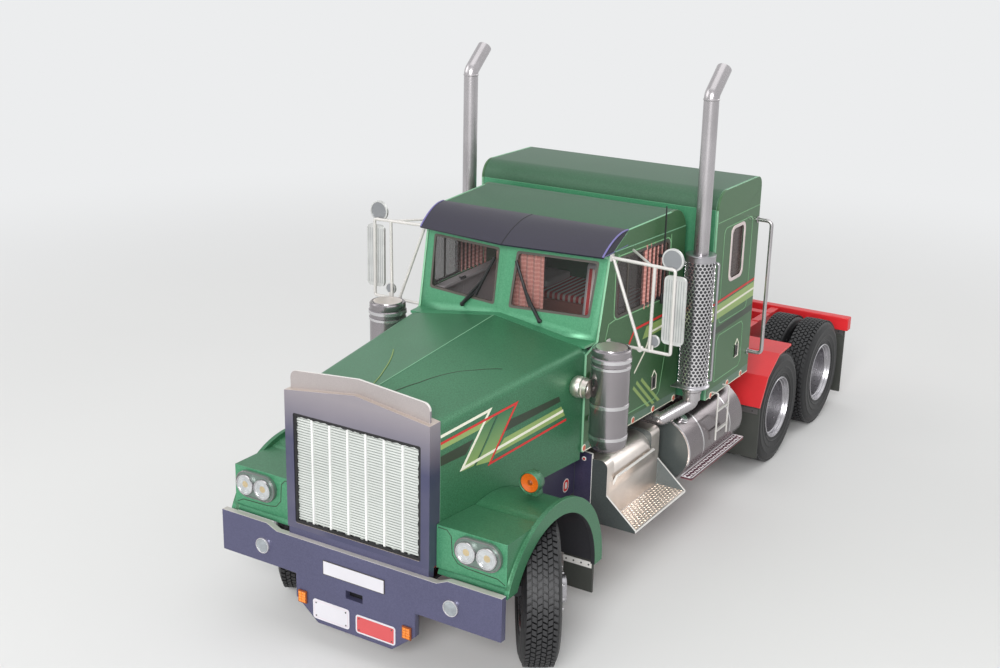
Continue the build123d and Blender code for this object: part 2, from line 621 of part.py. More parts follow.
MESH_SHEET = 1.0
MESH_RECESS = 1.0
BAR_WIDTH = 0.7
BAR_DEPTH = 0.5
BAR_PITCH = 2 * MESH_HALF / (GRILLE_BARS + 1)
with BuildPart() as grille:
    height = MESH_TOP - MESH_BOTTOM - 2 * SEAT_GAP
    with BuildSketch(front_plane(SHELL_FRONT_Y + MESH_RECESS)):
        with Locations((0, (MESH_BOTTOM + MESH_TOP) / 2)):
            RectangleRounded(2 * (MESH_HALF - SEAT_GAP), height, MESH_CORNER - SEAT_GAP)
    extrude(amount=-MESH_SHEET)
    with BuildSketch(front_plane(SHELL_FRONT_Y + MESH_RECESS)):
        with GridLocations(BAR_PITCH, 0, GRILLE_BARS, 1):
            with Locations((0, (MESH_BOTTOM + MESH_TOP) / 2)):
                Rectangle(BAR_WIDTH, height)
    extrude(amount=BAR_DEPTH)
grille.part.label = "grille"
export_step(grille.part, "parts/grille.step")

with BuildPart() as headlamps:
    for side_name, side in SIDES:
        middle = side * sum(HEADLAMPS_X) / 2
        spread = abs(HEADLAMPS_X[1] - HEADLAMPS_X[0])
        outer = HEADLAMP_RADIUS + BEZEL_MARGIN
        with BuildSketch(front_plane(POD_FRONT_Y - SEAT_GAP)):
            with Locations((middle, HEADLAMP_Z)):
                SlotCenterToCenter(spread, 2 * outer)
        extrude(amount=BEZEL_DEPTH)
        with BuildSketch(front_plane(POD_FRONT_Y - SEAT_GAP - BEZEL_DEPTH)):
            with Locations(*[(side * x, HEADLAMP_Z) for x in HEADLAMPS_X]):
                Circle(HEADLAMP_RADIUS)
        extrude(amount=LAMP_DEPTH)
        with BuildSketch(front_plane(-SEAT_GAP)):
            with Locations((side * FOG_LAMP[0], FOG_LAMP[1])):
                Circle(FOG_LAMP[2])
        extrude(amount=LAMP_DEPTH)
headlamps.part.label = "headlamps"
export_step(headlamps.part, "parts/headlamps.step")

lamp_reach = FENDER_LAMP[1] - ARCH_Y
LAMP_Z = ARCH_Z + sqrt((ARCH_INNER + ARCH_SKIN) ** 2 - lamp_reach ** 2) + FENDER_LAMP_RISE
LAMP_BODY = 5.0
with BuildPart() as marker_lamps:
    for side_name, side in SIDES:
        rod((side * FENDER_LAMP[0], FENDER_LAMP[1] - LAMP_BODY / 2, LAMP_Z),
            (side * FENDER_LAMP[0], FENDER_LAMP[1] + LAMP_BODY / 2, LAMP_Z), FENDER_LAMP[2])
        with BuildSketch(front_plane(-SEAT_GAP)):
            with Locations((side * VALANCE_LAMP[0], VALANCE_LAMP[1])):
                Rectangle(*VALANCE_LAMP_SIZE)
        extrude(amount=LAMP_DEPTH)
    with BuildSketch(side_plane(-FENDER_OUTER_X)):
        with Locations((ARCH_Y, ARCH_Z)):
            Circle(ARCH_INNER + ARCH_SKIN + SEAT_GAP)
    extrude(amount=2 * FENDER_OUTER_X, mode=Mode.SUBTRACT)
marker_lamps.part.label = "marker_lamps"
export_step(marker_lamps.part, "parts/marker_lamps.step")

# --- hood ----------------------------------------------------------------------------------


def hood_section(half, corner, crest, skirt):
    """Closed hood outline: folded sides, rounded long edges and a shallow centre crease."""
    foot = corner - skirt
    polygon((half, foot), (half, corner - HOOD_EDGE), (half - HOOD_EDGE, corner), (0, crest),
            (HOOD_EDGE - half, corner), (-half, corner - HOOD_EDGE), (-half, foot))


with BuildPart() as hood_top:
    with BuildSketch(front_plane(HOOD_FRONT_Y)):
        hood_section(SHELL_HALF, HOOD_FRONT_CORNER, HOOD_FRONT_CREST, HOOD_TOP_SKIRT)
    with BuildSketch(front_plane(HOOD_REAR_Y)):
        hood_section(HOOD_REAR_HALF, HOOD_REAR_CORNER, HOOD_REAR_CREST, HOOD_TOP_SKIRT)
    loft()
    with BuildSketch(front_plane(HOOD_FRONT_Y)):
        hood_section(SHELL_HALF - CARD, HOOD_FRONT_CORNER - CARD, HOOD_FRONT_CREST - CARD,
                     HOOD_TOP_SKIRT)
    with BuildSketch(front_plane(HOOD_REAR_Y)):
        hood_section(HOOD_REAR_HALF - CARD, HOOD_REAR_CORNER - CARD, HOOD_REAR_CREST - CARD,
                     HOOD_TOP_SKIRT)
    loft(mode=Mode.SUBTRACT)
hood_top.part.label = "hood_top"
export_step(hood_top.part, "parts/hood_top.step")

with BuildPart() as hood_sides:
    for side_name, side in SIDES:
        for_stations = ((HOOD_FRONT_Y, SHELL_HALF, HOOD_FRONT_CORNER - HOOD_TOP_SKIRT),
                        (HOOD_REAR_Y, HOOD_REAR_HALF, HOOD_REAR_CORNER - HOOD_TOP_SKIRT))
        for station, half, top in for_stations:
            with BuildSketch(front_plane(station)):
                polygon((side * half, HOOD_BOTTOM), (side * half, top),
                        (side * (half - CARD), top), (side * (half - CARD), HOOD_BOTTOM))
        loft()
hood_sides.part.label = "hood_sides"
export_step(hood_sides.part, "parts/hood_sides.step")

# --- fenders -------------------------------------------------------------------------------
for side_name, side in SIDES:
    with BuildPart() as fender:
        with BuildSketch(side_plane(0)):
            with Locations((ARCH_Y, ARCH_Z)):
                Circle(ARCH_INNER + ARCH_SKIN)
            with Locations((POD_FRONT_Y + POD_LENGTH / 2, (POD_BOTTOM + POD_TOP) / 2)):
                Rectangle(POD_LENGTH, POD_TOP - POD_BOTTOM)
        extrude(amount=side * POD_OUTER_X)
        with BuildSketch(side_plane(side * FENDER_OUTER_X)):
            with Locations((ARCH_Y, ARCH_Z)):
                Circle(FLANGE_OUTER)
        extrude(amount=-side * FLANGE_THICKNESS)
        with BuildSketch(side_plane(0)):
            with Locations((ARCH_Y, ARCH_Z)):
                Circle(ARCH_INNER)
        extrude(amount=side * (FENDER_OUTER_X - FLANGE_THICKNESS), mode=Mode.SUBTRACT)
        with BuildSketch(side_plane(0)):
            with Locations((ARCH_Y, ARCH_Z)):
                Circle(FLANGE_INNER)
        extrude(amount=side * 2 * FENDER_OUTER_X, mode=Mode.SUBTRACT)
        slab((0, side * 2 * FENDER_OUTER_X), (0, ARCH_Y), (-FLANGE_OUTER, FENDER_FRONT_FOOT_Z),
             Mode.SUBTRACT)
        slab((0, side * 2 * FENDER_OUTER_X), (ARCH_Y, 2 * ARCH_Y), (-FLANGE_OUTER, ARCH_FOOT_Z),
             Mode.SUBTRACT)
        with BuildSketch(plan_plane(0)):
            front_half = max(hood_half(0), SHELL_HALF) + SEAT_GAP
            polygon((0, 0), (side * front_half, 0),
                    (side * (SHELL_HALF + SEAT_GAP), HOOD_FRONT_Y),
                    (side * (HOOD_REAR_HALF + SEAT_GAP), HOOD_REAR_Y), (0, HOOD_REAR_Y))
        extrude(amount=HOOD_REAR_CREST, mode=Mode.SUBTRACT)
    fender.part.label = f"fender_{side_name}"
    export_step(fender.part, f"parts/fender_{side_name}.step")

# --- cab -----------------------------------------------------------------------------------
SCREEN_LEAN = SCREEN_TOP_CORNER_Y - SCREEN_FOOT_CORNER_Y
SCREEN_CUT_FRONT_Y = SCREEN_FOOT_CORNER_Y - 2 * SCREEN_VEE
SCREEN_CUT_DEPTH = SCREEN_LEAN + 4 * SCREEN_VEE
HEADER_Z = SCREEN_TOP_Z - CARD - SEAT_GAP      # top of the windscreen's frame
SIDE_INSET = CARD + SEAT_GAP     # what lies between the side panels stays this far in


def chevron(corner_y, half, depth, vee):
    """Vee-shaped strip in plan, its middle standing forward."""
    polygon((-half, corner_y), (0, corner_y - vee), (half, corner_y),
            (half, corner_y + depth), (0, corner_y - vee + depth), (-half, corner_y + depth))


def cab_plan(front_y, rear_y, inset):
    """Plan of the tapering cab, held in by an inset at the sides."""
    front, rear = cab_half(front_y) - inset, cab_half(rear_y) - inset
    polygon((-front, front_y), (front, front_y), (rear, rear_y), (-rear, rear_y))


def pane_outline(side, grow):
    """One windscreen pane as seen from the front, grown or shrunk all round."""
    half = cab_half(SCREEN_FOOT_CORNER_Y) - SCREEN_MARGIN
    polygon((side * (SCREEN_PILLAR - grow), SCREEN_FOOT_Z + SCREEN_MARGIN + 2.4 - grow),
            (side * (half + grow), SCREEN_FOOT_Z + SCREEN_MARGIN - 1.0 - grow),
            (side * (half + 0.6 + grow), SCREEN_TOP_Z - SCREEN_MARGIN + 1.6 + grow),
            (side * (SCREEN_PILLAR - grow), SCREEN_TOP_Z - SCREEN_MARGIN + 1.6 + grow))


with BuildPart() as cab_front:
    with BuildSketch(front_plane(CAB_FRONT_Y)):
        hood_section(CAB_FRONT_HALF - SIDE_INSET, HOOD_REAR_CORNER, HOOD_REAR_CREST,
                     HOOD_REAR_CORNER - CAB_BOTTOM)
    extrude(amount=-FIREWALL_DEPTH)
    with BuildSketch(plan_plane(SCREEN_FOOT_Z - CARD)):
        cab_plan(CAB_FRONT_Y, SCREEN_FOOT_CORNER_Y + CARD, SIDE_INSET)
    extrude(amount=CARD)
    with BuildSketch(plan_plane(SCREEN_FOOT_Z)):
        chevron(SCREEN_FOOT_CORNER_Y, cab_half(SCREEN_FOOT_CORNER_Y) - SIDE_INSET, CARD, SCREEN_VEE)
    with BuildSketch(plan_plane(HEADER_Z)):
        chevron(SCREEN_TOP_CORNER_Y, cab_half(SCREEN_TOP_CORNER_Y) - SIDE_INSET, CARD, SCREEN_VEE)
    loft()
    header_half = cab_half(SCREEN_TOP_CORNER_Y) - SIDE_INSET
    with BuildSketch(plan_plane(HEADER_Z)):
        polygon((-header_half, SCREEN_TOP_CORNER_Y - SEAT_GAP), (0, SCREEN_TOP_CORNER_Y - SCREEN_VEE),
                (header_half, SCREEN_TOP_CORNER_Y - SEAT_GAP))
    extrude(amount=CARD)
    with BuildSketch(front_plane(SCREEN_CUT_FRONT_Y)):
        pane_outline(1, 0)
        pane_outline(-1, 0)
    extrude(amount=-SCREEN_CUT_DEPTH, mode=Mode.SUBTRACT)
cab_front.part.label = "cab_front"
export_step(cab_front.part, "parts/cab_front.step")


def cab_profile(inset):
    """Cab's outline from the side, from the cowl over the roof to the rear wall."""
    front, rear = CAB_FRONT_Y, CAB_REAR_Y - inset
    polygon((front, CAB_BOTTOM), (front, SCREEN_FOOT_Z - HOOD_EDGE),
            (SCREEN_FOOT_CORNER_Y, SCREEN_FOOT_Z), (SCREEN_TOP_CORNER_Y, SCREEN_TOP_Z - inset),
            (ROOF_FRONT_Y, ROOF_FRONT_Z - inset), (rear, ROOF_REAR_Z - inset), (rear, CAB_BOTTOM))
    with Locations((rear - ROOF_REAR_ROUND / 2, ROOF_REAR_Z - inset - ROOF_REAR_ROUND / 2)):
        Rectangle(ROOF_REAR_ROUND, ROOF_REAR_ROUND, mode=Mode.SUBTRACT)
    with Locations((rear - ROOF_REAR_ROUND, ROOF_REAR_Z - inset - ROOF_REAR_ROUND)):
        Circle(ROOF_REAR_ROUND)


for side_name, side in SIDES:
    with BuildPart() as cab_side:
        with BuildSketch(side_plane(0)):
            cab_profile(0)
        extrude(amount=side * 2 * CAB_REAR_HALF)
        with BuildSketch(plan_plane(0)):
            polygon((side * (cab_half(CAB_FRONT_Y) - CARD), CAB_FRONT_Y),
                    (side * cab_half(CAB_FRONT_Y), CAB_FRONT_Y),
                    (side * cab_half(CAB_REAR_Y), CAB_REAR_Y),
                    (side * (cab_half(CAB_REAR_Y) - CARD), CAB_REAR_Y))
        extrude(amount=2 * ROOF_REAR_Z, mode=Mode.INTERSECT)
        with BuildSketch(side_plane(0)):
            with Locations(((WINDOW_FRONT_Y + WINDOW_REAR_Y) / 2, (WINDOW_BOTTOM + WINDOW_TOP) / 2)):
                RectangleRounded(WINDOW_REAR_Y - WINDOW_FRONT_Y, WINDOW_TOP - WINDOW_BOTTOM,
                                 WINDOW_ROUND)
        extrude(amount=side * 2 * CAB_REAR_HALF, mode=Mode.SUBTRACT)
    cab_side.part.label = f"cab_side_{side_name}"
    export_step(cab_side.part, f"parts/cab_side_{side_name}.step")

CAB_WALL_TOP = ROOF_REAR_Z - ROOF_REAR_ROUND
with BuildPart() as cab_roof:
    with BuildSketch(side_plane(-CAB_REAR_HALF)):
        cab_profile(0)
    extrude(amount=2 * CAB_REAR_HALF)
    with BuildSketch(side_plane(-CAB_REAR_HALF)):
        cab_profile(CARD)
    extrude(amount=2 * CAB_REAR_HALF, mode=Mode.SUBTRACT)
    slab((-CAB_REAR_HALF, CAB_REAR_HALF), (CAB_FRONT_Y, LENGTH), (0, CAB_WALL_TOP), Mode.SUBTRACT)
    slab((-CAB_REAR_HALF, CAB_REAR_HALF), (0, CAB_REAR_Y - ROOF_REAR_ROUND),
         (0, SCREEN_TOP_Z - CARD), Mode.SUBTRACT)
    with BuildSketch(plan_plane(0)):
        cab_plan(SCREEN_TOP_CORNER_Y, CAB_REAR_Y, SIDE_INSET)
    extrude(amount=2 * ROOF_REAR_Z, mode=Mode.INTERSECT)
cab_roof.part.label = "cab_roof"
export_step(cab_roof.part, "parts/cab_roof.step")

PASSAGE_HALF = 24.0
PASSAGE_BOTTOM = 54.0
PASSAGE_TOP = 100.0
with BuildPart() as cab_back:
    back_half = cab_half(CAB_REAR_Y - CARD) - SIDE_INSET
    slab((-back_half, back_half), (CAB_REAR_Y - CARD, CAB_REAR_Y), (CAB_BOTTOM, CAB_WALL_TOP))
    slab((-PASSAGE_HALF, PASSAGE_HALF), (CAB_REAR_Y - 2 * CARD, CAB_REAR_Y + CARD),
         (PASSAGE_BOTTOM, PASSAGE_TOP), Mode.SUBTRACT)
cab_back.part.label = "cab_back"
export_step(cab_back.part, "parts/cab_back.step")

BODY_MOUNT = 4.0
CAB_MOUNTS_Y = (84.0, 125.0)
SLEEPER_MOUNTS_Y = (141.0, 168.0)
FLOOR_TOP = CAB_BOTTOM + THICK_CARD
SLEEPER_INNER_HALF = SLEEPER_HALF - SIDE_INSET
with BuildPart() as floors:
    with BuildSketch(plan_plane(CAB_BOTTOM)):
        cab_plan(CAB_FRONT_Y + FIREWALL_DEPTH + SEAT_GAP, CAB_REAR_Y - SIDE_INSET, SIDE_INSET)
    extrude(amount=THICK_CARD)
    slab((-SLEEPER_INNER_HALF, SLEEPER_INNER_HALF),
         (SLEEPER_FRONT_Y + SIDE_INSET, SLEEPER_REAR_Y - SIDE_INSET), (CAB_BOTTOM, FLOOR_TOP))
    for place in CAB_MOUNTS_Y + SLEEPER_MOUNTS_Y:
        for side_name, side in SIDES:
            slab((side * (RAIL_OUTER_X - RAIL_FLANGE), side * RAIL_OUTER_X),
                 (place - BODY_MOUNT / 2, place + BODY_MOUNT / 2), (RAIL_TOP, CAB_BOTTOM))
floors.part.label = "floors"
export_step(floors.part, "parts/floors.step")

# --- glass, visor and inside ---------------------------------------------------------------
GLASS_SETBACK = (CARD - GLASS) / 2
with BuildPart() as windscreen:
    with BuildSketch(plan_plane(SCREEN_FOOT_Z)):
        chevron(SCREEN_FOOT_CORNER_Y + GLASS_SETBACK, cab_half(SCREEN_FOOT_CORNER_Y) - SIDE_INSET,
                GLASS, SCREEN_VEE)
    with BuildSketch(plan_plane(HEADER_Z)):
        chevron(SCREEN_TOP_CORNER_Y + GLASS_SETBACK, cab_half(SCREEN_TOP_CORNER_Y) - SIDE_INSET,
                GLASS, SCREEN_VEE)
    loft()
    with BuildSketch(front_plane(SCREEN_CUT_FRONT_Y)):
        pane_outline(1, -SEAT_GAP / 2)
        pane_outline(-1, -SEAT_GAP / 2)
    extrude(amount=-SCREEN_CUT_DEPTH, mode=Mode.INTERSECT)
windscreen.part.label = "windscreen"
export_step(windscreen.part, "parts/windscreen.step")

CAB_WINDOW = (WINDOW_FRONT_Y, WINDOW_REAR_Y, WINDOW_BOTTOM, WINDOW_TOP)
with BuildPart() as side_windows:
    for side_name, side in SIDES:
        setback = GLASS_SETBACK + GLASS
        with BuildSketch(plan_plane(WINDOW_BOTTOM)):
            polygon((side * (cab_half(WINDOW_FRONT_Y) - setback), WINDOW_FRONT_Y),
                    (side * (cab_half(WINDOW_FRONT_Y) - GLASS_SETBACK), WINDOW_FRONT_Y),
                    (side * (cab_half(WINDOW_REAR_Y) - GLASS_SETBACK), WINDOW_REAR_Y),
                    (side * (cab_half(WINDOW_REAR_Y) - setback), WINDOW_REAR_Y))
        extrude(amount=WINDOW_TOP - WINDOW_BOTTOM)
        slab((side * (SLEEPER_HALF - setback), side * (SLEEPER_HALF - GLASS_SETBACK)),
             SLEEPER_WINDOW[:2], SLEEPER_WINDOW[2:])
    with BuildSketch(side_plane(-SLEEPER_HALF)):
        for front, rear, bottom, top in (CAB_WINDOW, SLEEPER_WINDOW):
            with Locations(((front + rear) / 2, (bottom + top) / 2)):
                RectangleRounded(rear - front - SEAT_GAP, top - bottom - SEAT_GAP, WINDOW_ROUND)
    extrude(amount=2 * SLEEPER_HALF, mode=Mode.INTERSECT)
side_windows.part.label = "side_windows"
export_step(side_windows.part, "parts/side_windows.step")

VISOR_HALF = cab_half(VISOR_FRONT_Y)
VISOR_SEAT_Z = ROOF_FRONT_Z + SEAT_GAP


def visor_strip(front_y):
    """Visor's sheet seen from the side, from its front edge back to the roof."""
    polygon((front_y, VISOR_FRONT_Z), (ROOF_FRONT_Y, VISOR_SEAT_Z),
            (ROOF_FRONT_Y, VISOR_SEAT_Z + VISOR_SHEET), (front_y, VISOR_FRONT_Z + VISOR_SHEET))


with BuildPart() as sun_visor:
    for side_name, side in SIDES:
        with BuildSketch(side_plane(0)):
            visor_strip(VISOR_FRONT_Y - VISOR_VEE)
        with BuildSketch(side_plane(side * VISOR_HALF)):
            visor_strip(VISOR_FRONT_Y)
        loft()
        with BuildSketch(side_plane(side * VISOR_HALF)):
            polygon((VISOR_FRONT_Y, VISOR_FRONT_Z), (VISOR_FRONT_Y, VISOR_FRONT_Z + VISOR_SHEET / 2),
                    (ROOF_FRONT_Y, VISOR_SEAT_Z + VISOR_SHEET / 2), (ROOF_FRONT_Y, VISOR_SEAT_Z),
                    (SCREEN_TOP_CORNER_Y, SCREEN_TOP_Z + SEAT_GAP))
        extrude(amount=-side * VISOR_SHEET)
sun_visor.part.label = "sun_visor"
export_step(sun_visor.part, "parts/sun_visor.step")

DASH_REAR_Y = 84.5
DASH_BOTTOM = 66.0
DASH_TOP = SCREEN_FOOT_Z - CARD - SEAT_GAP
COLUMN_X = 15.0
COLUMN_END = (89.5, 79.0)                      # behind the nose, z
WHEEL_RADIUS = 6.2
WHEEL_WIRE = 0.6
with BuildPart() as dashboard:
    dash_front = CAB_FRONT_Y + FIREWALL_DEPTH + SEAT_GAP
    dash_half = cab_half(dash_front) - SIDE_INSET
    slab((-dash_half, dash_half), (dash_front, DASH_REAR_Y), (DASH_BOTTOM, DASH_TOP))
    column_start = (COLUMN_X, DASH_REAR_Y - 1, (DASH_BOTTOM + DASH_TOP) / 2)
    column_end = (COLUMN_X, *COLUMN_END)
    rod(column_start, column_end, WHEEL_WIRE)
    wheel_centre = Vector(COLUMN_X, back(COLUMN_END[0]), COLUMN_END[1])
    wheel_axis = wheel_centre - Vector(COLUMN_X, back(column_start[1]), column_start[2])
    wheel_place = Plane(origin=wheel_centre, x_dir=(1, 0, 0), z_dir=wheel_axis)
    with Locations(wheel_place):
        Torus(WHEEL_RADIUS, WHEEL_WIRE)
        Box(2 * WHEEL_RADIUS, 3 * WHEEL_WIRE, WHEEL_WIRE)
dashboard.part.label = "dashboard"
export_step(dashboard.part, "parts/dashboard.step")

SEAT_X = 16.0
SEAT_WIDTH = 15.0
SEAT_FRONT_Y = 97.0
SEAT_DEPTH = 19.0
SEAT_Z = 66.0
SEAT_BACK_TOP = 93.0
SEAT_BACK = 4.0
SEAT_RAKE = 4.0
with BuildPart() as seats:
    for side_name, side in SIDES:
        rear = SEAT_FRONT_Y + SEAT_DEPTH
        with BuildSketch(side_plane(side * SEAT_X - SEAT_WIDTH / 2)):
            polygon((SEAT_FRONT_Y, FLOOR_TOP), (SEAT_FRONT_Y, SEAT_Z), (rear - SEAT_BACK, SEAT_Z),
                    (rear + SEAT_RAKE - SEAT_BACK, SEAT_BACK_TOP), (rear + SEAT_RAKE, SEAT_BACK_TOP),
                    (rear, SEAT_Z), (rear, FLOOR_TOP))
        extrude(amount=SEAT_WIDTH)
seats.part.label = "seats"
export_step(seats.part, "parts/seats.step")

# --- boot and sleeper ----------------------------------------------------------------------
BOOT_REACH = 6.0
BOOT_ROUND = 4.0
with BuildPart() as sleeper_boot:
    with BuildSketch(front_plane(SLEEPER_FRONT_Y - SEAT_GAP)):
        with Locations((0, (BOOT_BOTTOM + BOOT_TOP) / 2)):
            RectangleRounded(2 * BOOT_HALF, BOOT_TOP - BOOT_BOTTOM, BOOT_ROUND)
            RectangleRounded(2 * (BOOT_HALF - BOOT_WALL), BOOT_TOP - BOOT_BOTTOM - 2 * BOOT_WALL,
                             BOOT_ROUND - BOOT_WALL, mode=Mode.SUBTRACT)
    extrude(amount=BOOT_REACH)
    with BuildSketch(side_plane(-SLEEPER_HALF)):
        cab_profile(-SEAT_GAP)
    extrude(amount=2 * SLEEPER_HALF, mode=Mode.SUBTRACT)
sleeper_boot.part.label = "sleeper_boot"
export_step(sleeper_boot.part, "parts/sleeper_boot.step")


def sleeper_profile(inset):
    """Sleeper's outline from the side, its upper corners rounded."""
    front, rear = SLEEPER_FRONT_Y + inset, SLEEPER_REAR_Y - inset
    top = SLEEPER_TOP - inset
    with Locations(((front + rear) / 2, (CAB_BOTTOM + top) / 2)):
        Rectangle(rear - front, top - CAB_BOTTOM)
    for corner_y, radius, toward in ((front, SLEEPER_FRONT_ROUND - inset, 1),
                                     (rear, SLEEPER_REAR_ROUND - inset, -1)):
        with Locations((corner_y + toward * radius / 2, top - radius / 2)):
            Rectangle(radius, radius, mode=Mode.SUBTRACT)
        with Locations((corner_y + toward * radius, top - radius)):
            Circle(radius)


for side_name, side in SIDES:
    with BuildPart() as sleeper_side:
        with BuildSketch(side_plane(side * SLEEPER_HALF)):
            sleeper_profile(0)
            front, rear, bottom, top = SLEEPER_WINDOW
            with Locations(((front + rear) / 2, (bottom + top) / 2)):
                RectangleRounded(rear - front, top - bottom, WINDOW_ROUND, mode=Mode.SUBTRACT)
        extrude(amount=-side * CARD)
    sleeper_side.part.label = f"sleeper_side_{side_name}"
    export_step(sleeper_side.part, f"parts/sleeper_side_{side_name}.step")

with BuildPart() as sleeper_roof:
    with BuildSketch(side_plane(-SLEEPER_INNER_HALF)):
        sleeper_profile(0)
    extrude(amount=2 * SLEEPER_INNER_HALF)
    with BuildSketch(side_plane(-SLEEPER_INNER_HALF)):
        sleeper_profile(CARD)
    extrude(amount=2 * SLEEPER_INNER_HALF, mode=Mode.SUBTRACT)
    middle = (SLEEPER_FRONT_Y + SLEEPER_REAR_Y) / 2
    slab((-SLEEPER_HALF, SLEEPER_HALF), (SLEEPER_FRONT_Y, middle),
         (0, SLEEPER_TOP - SLEEPER_FRONT_ROUND), Mode.SUBTRACT)
    slab((-SLEEPER_HALF, SLEEPER_HALF), (middle, SLEEPER_REAR_Y),
         (0, SLEEPER_TOP - SLEEPER_REAR_ROUND), Mode.SUBTRACT)
sleeper_roof.part.label = "sleeper_roof"
export_step(sleeper_roof.part, "parts/sleeper_roof.step")

with BuildPart() as sleeper_front:
    slab((-SLEEPER_INNER_HALF, SLEEPER_INNER_HALF), (SLEEPER_FRONT_Y, SLEEPER_FRONT_Y + CARD),
         (CAB_BOTTOM, SLEEPER_TOP - SLEEPER_FRONT_ROUND))
    slab((-PASSAGE_HALF, PASSAGE_HALF), (SLEEPER_FRONT_Y - CARD, SLEEPER_FRONT_Y + 2 * CARD),
         (PASSAGE_BOTTOM, PASSAGE_TOP), Mode.SUBTRACT)
sleeper_front.part.label = "sleeper_front"
export_step(sleeper_front.part, "parts/sleeper_front.step")

with BuildPart() as sleeper_back:
    slab((-SLEEPER_INNER_HALF, SLEEPER_INNER_HALF), (SLEEPER_REAR_Y - CARD, SLEEPER_REAR_Y),
         (CAB_BOTTOM, SLEEPER_TOP - SLEEPER_REAR_ROUND))
sleeper_back.part.label = "sleeper_back"
export_step(sleeper_back.part, "parts/sleeper_back.step")

BUNK_FRONT_Y = 146.0
BUNK_TOP = 68.0
with BuildPart() as bunk:
    slab((-SLEEPER_INNER_HALF + SEAT_GAP, SLEEPER_INNER_HALF - SEAT_GAP),
         (BUNK_FRONT_Y, SLEEPER_REAR_Y - SIDE_INSET - SEAT_GAP), (FLOOR_TOP, BUNK_TOP))
bunk.part.label = "bunk"
export_step(bunk.part, "parts/bunk.step")

# --- exhaust stacks and air cleaners ---------------------------------------------------------
ELBOW_Z = 48.6
LEG_RADIUS = 2.3
LEG_TURN = (37.6, 118.8, 43.5)                 # x, behind the nose, z
LEG_END_X = 8.0
with BuildPart() as exhaust_stacks:
    for side_name, side in SIDES:
        foot = (side * STACK_X, STACK_Y, ELBOW_Z)
        bend = (side * STACK_X, STACK_Y, STACK_BEND_Z)
        tip = (side * STACK_X, STACK_Y + STACK_TIP_LEAN, STACK_TIP_Z)
        turn = (side * LEG_TURN[0], LEG_TURN[1], LEG_TURN[2])
        rod(foot, (side * STACK_X, STACK_Y, SHIELD_BOTTOM), STACK_FOOT_RADIUS)
        rod(foot, bend, STACK_RADIUS)
        rod(bend, tip, STACK_RADIUS)
        rod(foot, turn, LEG_RADIUS)
        rod(turn, (side * LEG_END_X, LEG_TURN[1], LEG_TURN[2]), LEG_RADIUS)
        with Locations((bend[0], back(bend[1]), bend[2])):
            Sphere(STACK_RADIUS)
        with Locations((foot[0], back(foot[1]), foot[2])):
            Sphere(STACK_FOOT_RADIUS)
        with Locations((turn[0], back(turn[1]), turn[2])):
            Sphere(LEG_RADIUS)
exhaust_stacks.part.label = "exhaust_stacks"
export_step(exhaust_stacks.part, "parts/exhaust_stacks.step")

SHIELD_COLLAR = 1.0
BRACKET_Z = (64.0, 94.0)
BRACKET = 2.0
with BuildPart() as heat_shields:
    for side_name, side in SIDES:
        bore = STACK_RADIUS + SEAT_GAP
        inner = SHIELD_RADIUS - SHIELD_WALL
        collar = SHIELD_BOTTOM + SEAT_GAP
        section = Plane(origin=(side * STACK_X, back(STACK_Y), 0), x_dir=(1, 0, 0), z_dir=(0, -1, 0))
        with BuildSketch(section):
            polygon((bore, collar), (SHIELD_FOOT_RADIUS, collar),
                    (SHIELD_FOOT_RADIUS, collar + SHIELD_COLLAR), (SHIELD_RADIUS, collar + SHIELD_COLLAR),
                    (SHIELD_RADIUS, SHIELD_TOP), (bore, SHIELD_TOP), (bore, SHIELD_TOP - SHIELD_COLLAR),
                    (inner, SHIELD_TOP - SHIELD_COLLAR), (inner, collar + SHIELD_COLLAR),
                    (bore, collar + SHIELD_COLLAR))
        revolve(axis=Axis((side * STACK_X, back(STACK_Y), 0), (0, 0, 1)))
        for level in BRACKET_Z:
            slab((side * STACK_X - BRACKET / 2, side * STACK_X + BRACKET / 2),
                 (STACK_Y + inner + SHIELD_WALL / 2, SLEEPER_FRONT_Y - SEAT_GAP),
                 (level, level + BRACKET))
heat_shields.part.label = "heat_shields"
export_step(heat_shields.part, "parts/heat_shields.step")

CLEANER_CAP = 1.6
CLEANER_BRACKETS = (56.0, 70.0)
INTAKE_Y = 67.6
with BuildPart() as air_cleaners:
    for side_name, side in SIDES:
        section = Plane(origin=(side * CLEANER_X, back(CLEANER_Y), 0), x_dir=(1, 0, 0),
                        z_dir=(0, -1, 0))
        with BuildSketch(section):
            polygon((0, CLEANER_BOTTOM), (CLEANER_RADIUS * 0.55, CLEANER_BOTTOM),
                    (CLEANER_RADIUS, CLEANER_BOTTOM + CLEANER_DOME),
                    (CLEANER_RADIUS, CLEANER_TOP - CLEANER_CAP),
                    (CLEANER_RADIUS - CLEANER_CAP, CLEANER_TOP), (0, CLEANER_TOP))
        revolve(axis=Axis((side * CLEANER_X, back(CLEANER_Y), 0), (0, 0, 1)))
        cab_face = cab_half(CLEANER_Y + CARD + BRACKET) + SEAT_GAP
        for level in CLEANER_BRACKETS:
            slab((side * cab_face, side * CLEANER_X),
                 (CAB_FRONT_Y + SEAT_GAP, CAB_FRONT_Y + SEAT_GAP + BRACKET), (level, level + BRACKET))
        rod((side * CLEANER_X, INTAKE_Y, INTAKE_Z),
            (side * (hood_half(INTAKE_Y + INTAKE_RADIUS) + SEAT_GAP), INTAKE_Y, INTAKE_Z), INTAKE_RADIUS)
air_cleaners.part.label = "air_cleaners"
export_step(air_cleaners.part, "parts/air_cleaners.step")

# --- steps, tanks and mirrors ----------------------------------------------------------------
STEP_BOX_BOTTOM = 24.0
STEP_INNER_X = RAIL_OUTER_X + SEAT_GAP
COVER_FRONT_Y = STEP_FRONT_Y + STEP_END_FRONT
COVER_REAR_Y = STEP_REAR_Y - STEP_END_REAR
SIDE_BRACKET = 2.0


